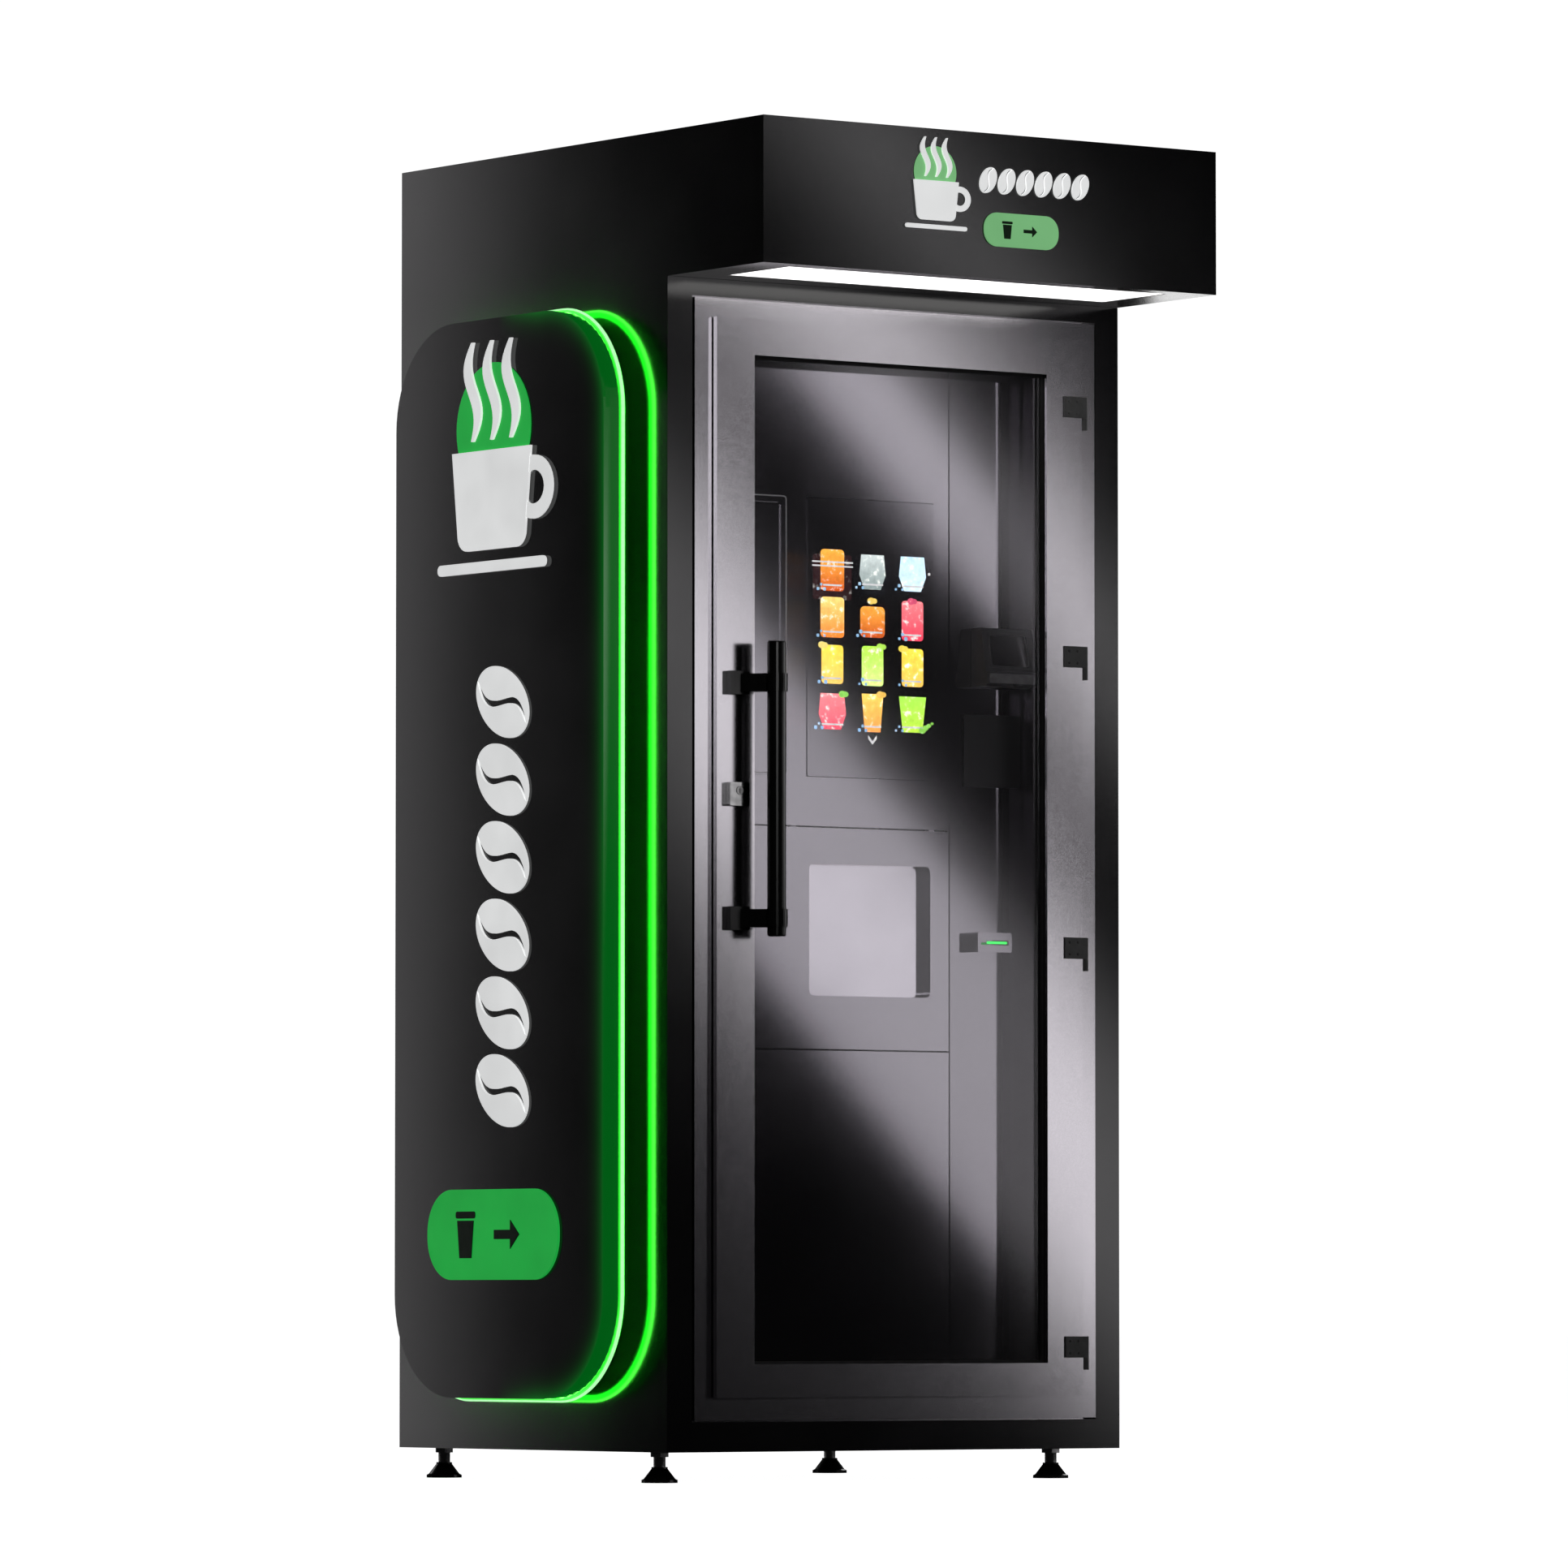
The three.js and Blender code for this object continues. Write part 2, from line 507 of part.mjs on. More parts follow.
// The middle panel, with the collar that leads in to the cup hatch.
function nichePanel() {
  const panel = foldedFront([...BAND_LEFT, PANEL_SEAMS[0] + SEAM, PANEL_SEAMS[1] - SEAM], MACHINE_FRONT);
  const collarEnd = MACHINE_FRONT + NICHE_RECESS - 0.5;
  const collar = wall(NICHE, [MACHINE_FRONT, collarEnd], 14, -4);
  return panel.add(collar).subtract(wall(NICHE, [MACHINE_FRONT - 1, collarEnd + 1], 10));
}

const READER = { x: [198, 272], z: [915, 949], proud: 27, slot: [927.5, 935.5] };

function readerBezel() {
  const front = MACHINE_FRONT - READER.proud;
  const body = wall([...READER.x, ...READER.z], [front, MACHINE_FRONT - GAP], 3);
  const slot = slab([READER.x[0] + 7, READER.x[1] - 7], [front - 1, MACHINE_FRONT - 3], READER.slot);
  return body.subtract(slot);
}

const TERMINAL = { x: [204, 314], z: [1377.4, 1479.4], lip: 47, lipHeight: 24, top: 30, chamfer: 4 };
const CARD_NOTCH = { half: 14, depth: 14, height: 10 };

// A wedge-shaped card terminal: thick at its bottom lip, its screen tilted back, a card notch in the lip.
function cardTerminal() {
  const back = MACHINE_FRONT - GAP;
  const front = MACHINE_FRONT - TERMINAL.lip;
  const [low, high] = TERMINAL.z;
  const lipTop = low + TERMINAL.lipHeight;
  const step = 5; // the screen starts behind the lip's top edge
  const side = new THREE.Shape()
    .moveTo(back, low)
    .lineTo(front + TERMINAL.chamfer, low)
    .lineTo(front, low + TERMINAL.chamfer)
    .lineTo(front, lipTop)
    .lineTo(front + step, lipTop + 2)
    .lineTo(MACHINE_FRONT - TERMINAL.top, high - 3)
    .lineTo(MACHINE_FRONT - TERMINAL.top + 3, high)
    .lineTo(back, high)
    .closePath();
  const middle = (TERMINAL.x[0] + TERMINAL.x[1]) / 2;
  const notch = slab(
    [middle - CARD_NOTCH.half, middle + CARD_NOTCH.half],
    [front - 1, front + CARD_NOTCH.depth],
    [low - 1, low + CARD_NOTCH.height],
  );
  return alongX(side, TERMINAL.x).subtract(notch);
}

const LINER = { side: 14, front: MACHINE_FRONT + 28, back: CHASSIS.y - 1, wall: 3, guide: 12, above: 20 };
const BREW = { x: -14, y: 170, chamber: 25, low: 1124, high: 1330, floor: 1160, half: 58, hole: 16 };
const SPOUT = { tip: 9, root: 14, below: 20 };
const PISTON = { below: 60, head: 22, rod: 7, fit: 0.4, shelfGap: 29 };

// The cup chamber behind the hatch, with the two guides that the hatch runs in and a hole for the spout.
function nicheLiner() {
  const { side, front, back, wall: thick } = LINER;
  const outer = [NICHE[0] - side, NICHE[1] + side, NICHE[2] - side, NICHE[3] + side];
  const shell = wall(outer, [front, back]);
  const hollow = wall(outer, [front - 1, back - thick], 0, thick);
  const spoutHole = upright(BREW.x, BREW.y, [outer[3] - 10, outer[3] + 1], BREW.hole);
  let liner = shell.subtract(hollow).subtract(spoutHole);
  const guideTop = NICHE[3] + HATCH.travel + LINER.above;
  const hatchEdge = HATCH.lap + 1;
  for (const [inner, outwards] of [[NICHE[0] - hatchEdge, -1], [NICHE[1] + hatchEdge, 1]]) {
    const x = [inner, inner + outwards * LINER.guide].sort((a, b) => a - b);
    liner = liner.add(slab(x, [MACHINE_FRONT + NICHE_RECESS, front + thick], [outer[2], guideTop]));
  }
  return liner;
}

// A shallow tray of long pockets under the spout.
const TRAY = { side: 8, front: 4, back: 6, bars: 9, border: 8, bar: 6, floor: 3 };
function dripTray() {
  const x = [NICHE[0] - TRAY.side, NICHE[1] + TRAY.side];
  const y = [LINER.front + TRAY.front, LINER.back - TRAY.back];
  const low = NICHE[2] - LINER.side + LINER.wall + GAP;
  const top = NICHE[2] + 2;
  let tray = slab(x, y, [low, top]);
  const pitch = (x[1] - x[0] - 2 * TRAY.bar) / TRAY.bars;
  for (let bar = 0; bar < TRAY.bars; bar++) {
    const start = x[0] + TRAY.border + bar * pitch;
    const across = [start, start + pitch - TRAY.bar];
    tray = tray.subtract(slab(across, [y[0] + TRAY.border, y[1] - TRAY.border], [low + TRAY.floor, top + 1]));
  }
  return tray;
}

// Brewing chamber with the outlet spout under it.
function brewGroup() {
  const x = [BREW.x - BREW.half, BREW.x + BREW.half];
  const block = slab(x, [BREW.y - BREW.half, CHASSIS.y - GAP], [BREW.low, BREW.high]);
  const tip = NICHE[3] - SPOUT.below;
  const spout = upright(BREW.x, BREW.y, [tip, BREW.low + 1], SPOUT.tip, SPOUT.root, 16);
  const chamber = upright(BREW.x, BREW.y, [BREW.floor, BREW.high + 1], BREW.chamber);
  return block.add(spout).subtract(chamber);
}

function brewPiston() {
  const headLow = BREW.high - PISTON.below;
  const headTop = headLow + PISTON.head;
  const head = upright(BREW.x, BREW.y, [headLow, headTop], BREW.chamber - PISTON.fit);
  const rodSpan = [headTop - 2, CHASSIS.shelf - PISTON.shelfGap];
  const rod = upright(BREW.x, BREW.y, rodSpan, PISTON.rod, PISTON.rod, 16);
  return head.add(rod);
}

const GRINDER = { y: 238, radius: 62, low: CHASSIS.shelf + GAP, high: 1612 };
const HOPPER = { throat: 70, mouth: 170, high: 1900, wall: 4, floor: 8 };

// A square funnel on the grinder, open at the top.
function beanHopper() {
  const frustum = (low, high, small, large) => {
    const body = new THREE.CylinderGeometry(large, small, high - low, 4);
    body.rotateX(Math.PI / 2).rotateZ(Math.PI / 4).translate(BREW.x, GRINDER.y, (low + high) / 2);
    return solid(body);
  };
  const low = GRINDER.high + GAP;
  const { throat, mouth, high, wall: thick, floor } = HOPPER;
  const inner = frustum(low + floor, high + 1, throat - thick, mouth - thick);
  return frustum(low, high, throat, mouth).subtract(inner);
}

const BOILER = { x: -250, y: 420, height: 370, radius: 85, wall: 4, port: 12 };

// A steel vessel with its filling port on top.
function boiler() {
  const top = GRINDER.low + BOILER.height;
  const vessel = upright(BOILER.x, BOILER.y, [GRINDER.low, top], BOILER.radius);
  const water = [GRINDER.low + BOILER.wall, top - BOILER.wall];
  const inside = upright(BOILER.x, BOILER.y, water, BOILER.radius - BOILER.wall);
  return vessel.subtract(inside).subtract(upright(BOILER.x, BOILER.y, [water[1] - 1, top + 1], BOILER.port));
}

const GROUNDS_BIN = { x: [-380, 120], y: [CHASSIS.shelfFront, CHASSIS.y - 5], height: 460, wall: 4 };
const WATER_TANK = { x: [240, 420], y: [350, 700], height: 520, wall: 5 };

// A box open at the top, such as the grounds bin and the water tank, standing on the machine's floor.
function openBox({ x, y, height, wall: thick }) {
  const floor = MACHINE.low + MACHINE.sheet + GAP;
  const top = floor + height;
  const inner = slab([x[0] + thick, x[1] - thick], [y[0] + thick, y[1] - thick], [floor + thick, top + 1]);
  return slab(x, y, [floor, top]).subtract(inner);
}

// A tray on the chassis plate that holds the circuit boards, open towards the payment panel.
const CONTROL_BOX = { x: [250, 420], y: [128, CHASSIS.y - GAP], z: [1000, 1400], wall: 1.5 };
function controlBox() {
  const { x, y, z, wall: thick } = CONTROL_BOX;
  const inner = slab([x[0] + thick, x[1] - thick], [y[0] - 1, y[1] - thick], [z[0] + thick, z[1] - thick]);
  return slab(x, y, z).subtract(inner);
}

function fanHousing() {
  const outline = [-FAN.half, FAN.half, FAN.z - FAN.half, FAN.z + FAN.half];
  const body = wall(outline, [FAN.front, DEPTH - FOLD - GAP], 6);
  const opening = level(0, FAN.z, [FAN.front - 1, DEPTH], FAN.bore, 32);
  const reach = FAN.bore + 2;
  const armDepth = [FAN.front, FAN.front + FAN.armThick];
  const arms = slab([-FAN.arm, FAN.arm], armDepth, [FAN.z - reach, FAN.z + reach]);
  return body.subtract(opening).add(arms);
}

// A hub with blades set at an angle, each rooted a little inside the hub.
function fanRotor() {
  const length = FAN.bore - ROTOR.root - ROTOR.tipGap;
  const middle = FAN.front + (ROTOR.from + ROTOR.to) / 2;
  let rotor = level(0, FAN.z, [FAN.front + ROTOR.from, FAN.front + ROTOR.to], ROTOR.hub);
  for (let index = 0; index < ROTOR.blades; index++) {
    const blade = new THREE.BoxGeometry(ROTOR.chord, ROTOR.thick, length);
    blade.rotateZ(ROTOR.pitch).translate(0, middle, ROTOR.root + length / 2);
    blade.rotateY((index * 2 * Math.PI) / ROTOR.blades).translate(0, 0, FAN.z);
    rotor = rotor.add(solid(blade));
  }
  return rotor;
}

function buildMachine() {
  const machine = new THREE.Group();
  kiosk.add(machine);
  add(machine, "machine_case", machineCase(), machinePaint());
  add(machine, "upper_front_panel", upperPanel(), machinePaint());
  add(machine, "niche_front_panel", nichePanel(), machinePaint());
  const lower = [...BAND_LEFT, MACHINE.low + MACHINE.skirt, PANEL_SEAMS[0] - SEAM];
  add(machine, "lower_front_panel", foldedFront(lower, MACHINE_FRONT), machinePaint());
  const column = [COLUMN_SEAM + SEAM, MACHINE.half, MACHINE.low + MACHINE.skirt, MACHINE.top];
  add(machine, "payment_panel", foldedFront(column, MACHINE_FRONT), machinePaint());
  add(machine, "touchscreen", wall(SCREEN, [MACHINE_FRONT - 2, MACHINE_FRONT + 12], 4), blackPlastic());
  const menu = wall(MENU, [MACHINE_FRONT - 6, MACHINE_FRONT - GAP], 8);
  const menuSheet = wall(MENU, [MACHINE_FRONT - 7, MACHINE_FRONT - 3], 4, 14);
  add(machine, "menu_frame", menu.subtract(menuSheet), machinePaint());
  add(machine, "card_terminal", cardTerminal(), blackPlastic());
  const cover = wall(COVER_PLATE, [MACHINE_FRONT - 3, MACHINE_FRONT - GAP], 3);
  add(machine, "reader_cover_plate", cover, blackPlastic());
  add(machine, "reader_bezel", readerBezel(), machinePaint());
  add(machine, "niche_liner", nicheLiner(), machinePaint());
  const hatchFront = MACHINE_FRONT + NICHE_RECESS;
  const hatch = wall(NICHE, [hatchFront, hatchFront + HATCH.thick], 0, -HATCH.lap);
  add(machine, "cup_hatch", hatch, machinePaint());
  add(machine, "drip_tray", dripTray(), steel());
  add(machine, "brew_group", brewGroup(), steel());
  add(machine, "brew_piston", brewPiston(), steel());
  const grinder = upright(BREW.x, GRINDER.y, [GRINDER.low, GRINDER.high], GRINDER.radius);
  add(machine, "grinder", grinder, steel());
  add(machine, "bean_hopper", beanHopper(), blackPlastic());
  add(machine, "boiler", boiler(), steel());
  add(machine, "grounds_bin", openBox(GROUNDS_BIN), blackPlastic());
  add(machine, "water_tank", openBox(WATER_TANK), blackPlastic());
  add(machine, "control_box", controlBox(), steel());
  add(machine, "fan_housing", fanHousing(), blackPlastic());
  add(machine, "fan_rotor", fanRotor(), blackPlastic());
}

buildCabinet();
buildDoor();
buildSign();
buildMachine();

// The part's own frame has its origin on the floor, under the centre of the whole outline, which the sign
// widens on the left and the canopy lengthens at the front.
kiosk.position.set((SIGN.standoff + SIGN.thick) / 2, -(DEPTH - OVERHANG) / 2, 0);
const group = new THREE.Group();
group.add(kiosk);

export default group;
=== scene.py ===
"""Looks of a hot coffee vending kiosk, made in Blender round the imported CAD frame.

Metres, +Z up; the door faces -Y and the lit sign hangs on the -X wall.
"""

import math
import random

import bmesh
import bpy
from mathutils import Matrix, Vector


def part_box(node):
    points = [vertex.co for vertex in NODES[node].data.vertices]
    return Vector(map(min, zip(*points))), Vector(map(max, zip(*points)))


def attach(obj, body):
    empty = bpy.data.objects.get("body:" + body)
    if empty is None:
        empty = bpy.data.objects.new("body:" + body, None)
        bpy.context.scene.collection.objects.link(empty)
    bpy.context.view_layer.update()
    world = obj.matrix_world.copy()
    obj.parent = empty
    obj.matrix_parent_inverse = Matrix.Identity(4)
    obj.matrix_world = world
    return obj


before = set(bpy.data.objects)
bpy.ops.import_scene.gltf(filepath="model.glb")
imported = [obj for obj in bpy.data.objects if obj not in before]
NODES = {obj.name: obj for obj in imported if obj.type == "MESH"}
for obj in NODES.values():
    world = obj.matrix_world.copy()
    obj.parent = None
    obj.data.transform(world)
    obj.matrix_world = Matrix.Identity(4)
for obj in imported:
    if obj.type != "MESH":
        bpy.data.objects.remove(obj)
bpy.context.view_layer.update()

MM = 0.001
HINGES = "abcd"
FEET = ("foot_front_left", "foot_front_right", "foot_back_left", "foot_back_right")

# Camera: a long lens, far off, low and to the kiosk's left.
CAMERA_AZIMUTH = math.radians(-35.703)
CAMERA_PITCH = math.radians(2.917)
CAMERA_PLACE = Vector((-10.357, -14.397, 0.306))
CAMERA_LENS = 233.85
CAMERA_SENSOR = 36.0

# Studio: lamps that the camera sees mirrored in the door and in the left wall, and a dim fill.
LAMP_DISTANCE = 4.0
LAYER_GAP = 0.005
WORLD_FILL = 0.012
BACKDROP = 1.05
BAND_X = 0.138
BAND_LENGTH = 3.2
BAND_ROLL = -51.0
BAND_FADE = (0.3, 0.05)
BAND_RADIANCE = 1.62
UPPER_BAND = (1.78, 0.215, 1.28 * BAND_RADIANCE)  # height above the floor, width, radiance
LOWER_BAND = (0.845, 0.495, BAND_RADIANCE)
WALL_SHEEN_END = 1.10
WALL_SHEEN_MIDDLE = 1.25
WALL_SHEEN_HEIGHT = 3.2
# Each step of the wall's sheen: its front edge along Y, and its radiance.
WALL_STEPS = ((0.10, 0.03), (0.25, 0.06), (0.37, 0.22), (0.48, 0.46), (0.58, 0.58), (0.68, 0.42))

# Door pane and sign.
GLASS_TINT = (0.975, 0.97, 0.98, 1)
GLASS_SHEEN = (0.92, 0.90, 0.94, 1)
GLASS_ROUGH = (0.08, 0.11)
GLASS_IOR = 1.33  # low, because the pane's back face, met from inside, mirrors as well
SIGN_CORNER = 0.178
LED_RADIUS = 3.2 * MM
PAINTED_LED_GLOW = (0.012, 0.10)  # painted green glow on the sign's face in place of the LED's light: how far in from the edge it reaches, and how strong it is there


# ---- node materials --------------------------------------------------------------------------------------
class Surface:
    """A Principled material whose colour, roughness and bump come from procedural nodes."""

    def __init__(self, name, metallic=0.0, **settings):
        self.material = bpy.data.materials.new(name)
        self.material.use_nodes = True
        self.tree = self.material.node_tree
        self.shader = self.tree.nodes["Principled BSDF"]
        self.shader.inputs["Metallic"].default_value = metallic
        for socket, value in settings.items():
            self.shader.inputs[socket.replace("_", " ")].default_value = value
        self.place = self.tree.nodes.new("ShaderNodeTexCoord").outputs["Object"]

    def node(self, kind, **inputs):
        node = self.tree.nodes.new("ShaderNode" + kind)
        for socket, value in inputs.items():
            self.feed(node.inputs[socket.replace("_", " ")], value)
        return node

    def feed(self, socket, value):
        if isinstance(value, bpy.types.NodeSocket):
            self.tree.links.new(value, socket)
        else:
            socket.default_value = value

    def noise(self, scale, detail=2.0, roughness=0.5, stretch=None):
        place = self.place
        if stretch:
            place = self.node("Mapping", Vector=self.place, Scale=stretch).outputs["Vector"]
        node = self.node("TexNoise", Vector=place, Scale=scale, Detail=detail, Roughness=roughness)
        return node.outputs["Fac"]

    def spread(self, value, low, high, source=(0.3, 0.7)):
        """Maps a noise value onto the range low to high."""
        first, last = source
        node = self.node("MapRange", Value=value, From_Min=first, From_Max=last, To_Min=low, To_Max=high)
        return node.outputs["Result"]

    def mix(self, factor, first, second):
        node = self.tree.nodes.new("ShaderNodeMix")
        node.data_type = "RGBA"
        for socket, value in ((0, factor), (6, first), (7, second)):
            self.feed(node.inputs[socket], value)
        return node.outputs[2]

    def math(self, operation, first, second=0.0):
        node = self.tree.nodes.new("ShaderNodeMath")
        node.operation = operation
        self.feed(node.inputs[0], first)
        self.feed(node.inputs[1], second)
        return node.outputs[0]

    def height(self):
        return self.node("SeparateXYZ", Vector=self.place).outputs["Z"]

    def colour(self, value):
        self.feed(self.shader.inputs["Base Color"], value)
        return self

    def rough(self, value):
        self.feed(self.shader.inputs["Roughness"], value)
        return self

    def bump(self, height, strength, distance):
        node = self.node("Bump", Height=height, Strength=strength, Distance=distance)
        self.feed(self.shader.inputs["Normal"], node.outputs["Normal"])
        return self

    def glow(self, colour, strength):
        self.feed(self.shader.inputs["Emission Color"], colour)
        self.feed(self.shader.inputs["Emission Strength"], strength)
        return self


def grey(value, alpha=1.0):
    return (value, value, value, alpha)


def powder_coat(name, tone, rough, grain=1500.0, peel=0.2, **settings):
    """Sprayed powder coat: fine orange peel, faint cloudy tone, a few duller patches."""
    s = Surface(name, **settings)
    cloud = s.noise(3.0, 3.0)
    speck = s.noise(grain, 1.0)
    base = s.mix(s.spread(cloud, 0.0, 1.0), tone[0], tone[1])
    s.colour(s.mix(s.spread(speck, 0.0, 0.35, (0.55, 0.8)), base, tone[2]))
    s.rough(s.math("ADD", s.spread(speck, rough - 0.03, rough + 0.03), s.spread(cloud, -0.02, 0.02)))
    return s.bump(speck, peel, 0.0001)


def black_paint():
    tone = ((0.0040, 0.0040, 0.0046, 1), (0.0065, 0.0064, 0.0072, 1), (0.02, 0.02, 0.022, 1))
    return powder_coat("black_powder_coat", tone, 0.12, Specular_IOR_Level=0.62)


def sign_paint():
    """Satin black, with a painted green glow along the face's front edge that stands in for the LED strip's
    light on it.
    """
    tone = ((0.0036, 0.0036, 0.0040, 1), (0.0055, 0.0055, 0.0060, 1), (0.012, 0.012, 0.014, 1))
    s = powder_coat("sign_satin_black_painted_glow", tone, 0.11, 1900.0, Specular_IOR_Level=0.62)
    low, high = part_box("sign_plate")
    place = s.node("SeparateXYZ", Vector=s.place)
    beyond = []
    for number, axis in ((1, "Y"), (2, "Z")):
        middle = (low[number] + high[number]) / 2
        half = (high[number] - low[number]) / 2
        off = s.math("ABSOLUTE", s.math("SUBTRACT", place.outputs[axis], middle))
        beyond.append(s.math("SUBTRACT", off, half - SIGN_CORNER))
    outside = [s.math("POWER", s.math("MAXIMUM", value, 0.0), 2.0) for value in beyond]
    reach = s.math("SQRT", s.math("ADD", *outside))
    inside = s.math("MINIMUM", s.math("MAXIMUM", *beyond), 0.0)
    from_edge = s.math("SUBTRACT", s.math("ADD", reach, inside), SIGN_CORNER)
    # Painted light: a green emission, strongest at the face's rounded edge and fading inwards, on the front
    # part only.
    reach_in, strength = PAINTED_LED_GLOW
    fade = s.math("EXPONENT", s.math("DIVIDE", from_edge, reach_in))
    painted_glow_front_only = s.spread(place.outputs["Y"], 1.0, 0.0, (low.y + 0.2, (low.y + high.y) / 2))
    return s.glow((0.0, 1.0, 0.07, 1), s.math("MULTIPLY", s.math("MULTIPLY", fade, painted_glow_front_only), strength))


def door_metal():
    """Metallic grey coat: fine flakes that glint, over slow cloudy variation."""
    s = Surface("door_metallic_grey", metallic=1.0)
    flake = s.noise(900.0, 2.0, 0.7)
    cloud = s.noise(2.4, 3.0)
    base = s.mix(s.spread(cloud, 0.0, 1.0), (0.40, 0.385, 0.41, 1), (0.45, 0.435, 0.46, 1))
    s.colour(s.mix(s.spread(flake, 0.0, 0.6, (0.4, 0.7)), base, (0.66, 0.64, 0.67, 1)))
    s.rough(s.spread(flake, 0.11, 0.18))
    return s.bump(flake, 0.28, 0.0001)


def machine_paint(name, lift):
    """Smooth dark metallic coat of the machine's front, made lighter or darker by the lift."""
    tone = [(red * lift, (red - 0.005) * lift, (red + 0.005) * lift, 1) for red in (0.150, 0.165, 0.200)]
    return powder_coat(name, tone, 0.06, 1300.0, 0.05, metallic=1.0)


def niche_panel():
    s = Surface("niche_light_satin", metallic=1.0)
    soft = s.noise(12.0, 2.0)
    s.colour(s.mix(s.spread(soft, 0.0, 1.0), (0.37, 0.36, 0.38, 1), (0.40, 0.39, 0.41, 1)))
    s.rough(s.spread(s.noise(900.0), 0.10, 0.14))
    return s.bump(s.noise(900.0), 0.04, 0.0001)


def gloss_black(name="gloss_black", rough=0.16, tone=0.006, shine=0.6):
    s = Surface(name, Specular_IOR_Level=shine)
    smear = s.noise(22.0, 4.0, 0.6, (1.0, 1.0, 0.25))
    s.colour(s.mix(s.spread(s.noise(300.0), 0.0, 1.0), grey(tone), grey(tone * 1.8)))
    s.rough(s.spread(smear, rough - 0.04, rough + 0.09))
    return s.bump(s.noise(160.0, 2.0), 0.06, 0.0002)


def textured_plastic(name, tone, rough=0.5):
    s = Surface(name)
    grain = s.node("TexVoronoi", Vector=s.place, Scale=1400.0).outputs["Distance"]
    s.colour(s.mix(s.spread(s.noise(60.0), 0.0, 1.0), grey(tone), grey(tone * 1.5)))
    s.rough(s.spread(grain, rough - 0.08, rough + 0.08, (0.1, 0.7)))
    return s.bump(grain, 0.25, 0.0001)


def rubber():
    s = Surface("black_rubber", Specular_IOR_Level=0.3)
    s.colour(s.mix(s.spread(s.noise(90.0, 4.0), 0.0, 1.0), grey(0.006), grey(0.012)))
    s.rough(s.spread(s.noise(400.0), 0.62, 0.8))
    return s.bump(s.noise(700.0), 0.3, 0.0001)


def brushed_steel(name="brushed_steel", tone=0.52, rough=0.3, along=(1.0, 1.0, 40.0)):
    s = Surface(name, metallic=1.0, Anisotropic=0.4)
    line = s.noise(60.0, 6.0, 0.7, along)
    s.colour(s.mix(s.spread(line, 0.0, 1.0), grey(tone * 0.85), grey(tone * 1.1)))
    s.rough(s.spread(line, rough - 0.08, rough + 0.1))
    return s.bump(line, 0.2, 0.0001)


def black_chrome():
    s = Surface("black_chrome", metallic=1.0)
    s.colour(s.mix(s.spread(s.noise(40.0), 0.0, 1.0), grey(0.16), grey(0.24)))
    s.rough(s.spread(s.noise(90.0, 4.0), 0.06, 0.16))
    return s.bump(s.noise(300.0), 0.04, 0.0001)


def foot_finish():
    """A levelling foot in one piece: galvanised stem above, glossy black bell below."""
    s = Surface("foot_black_and_zinc")
    low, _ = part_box("foot_front_left")
    stem = s.spread(s.height(), 0.0, 1.0, (low.z + 0.0265, low.z + 0.0275))
    zinc = s.mix(s.spread(s.noise(240.0, 3.0), 0.0, 1.0), (0.50, 0.50, 0.50, 1), (0.70, 0.70, 0.69, 1))
    black = s.mix(s.spread(s.noise(160.0), 0.0, 1.0), grey(0.006), grey(0.012))
    s.colour(s.mix(stem, black, zinc))
    s.feed(s.shader.inputs["Metallic"], stem)
    s.rough(s.spread(s.noise(120.0, 3.0), 0.14, 0.26))
    return s.bump(s.noise(500.0), 0.1, 0.0001)


def opal_light():
    """Opal acrylic over LED rows: almost even white, a little brighter over each row."""
    s = Surface("opal_light_white")
    across = s.node("SeparateXYZ", Vector=s.place).outputs["X"]
    row = s.math("SINE", s.math("MULTIPLY", across, 210.0))
    s.colour(s.mix(s.spread(s.noise(30.0), 0.0, 1.0), grey(0.85), grey(0.92)))
    s.rough(s.spread(s.noise(500.0), 0.4, 0.55))
    return s.glow((1.0, 0.985, 0.97, 1), s.spread(row, 1.7, 2.1, (-1.0, 1.0)))


def neon(name, colour, strength, seen_colour, seen):
    """Silicone LED neon with the faint beat of its diodes.

    It lights and mirrors with its full strength, and shows the camera a softer colour, as film does.
    """
    s = Surface(name)
    beat = s.noise(140.0, 1.0)
    to_camera = s.node("LightPath").outputs["Is Camera Ray"]
    s.colour(s.mix(s.spread(beat, 0.0, 1.0), colour, tuple(0.8 * c for c in colour[:3]) + (1,)))
    s.rough(s.spread(s.noise(300.0), 0.3, 0.5))
    power = s.math("MULTIPLY", s.spread(beat, 0.92, 1.08), s.spread(to_camera, strength, seen, (0.0, 1.0)))
    return s.glow(s.mix(to_camera, colour, seen_colour), power)


def acrylic(name, colour, lift):
    """Gloss acrylic lettering sheet with a painted glow, so that it keeps its colour in shade."""
    s = Surface(name, Specular_IOR_Level=0.12)
    dark = tuple(0.9 * c for c in colour[:3]) + (1,)
    s.colour(s.mix(s.spread(s.noise(14.0, 3.0), 0.0, 1.0), dark, colour))
    s.rough(s.spread(s.noise(60.0, 3.0), 0.28, 0.42))
    s.bump(s.noise(260.0), 0.05, 0.0001)
    # Painted light: this emission stands in for light falling on the sheet, which is no lamp.
    return s.glow(colour, s.spread(s.noise(9.0), lift * 0.92, lift * 1.05))


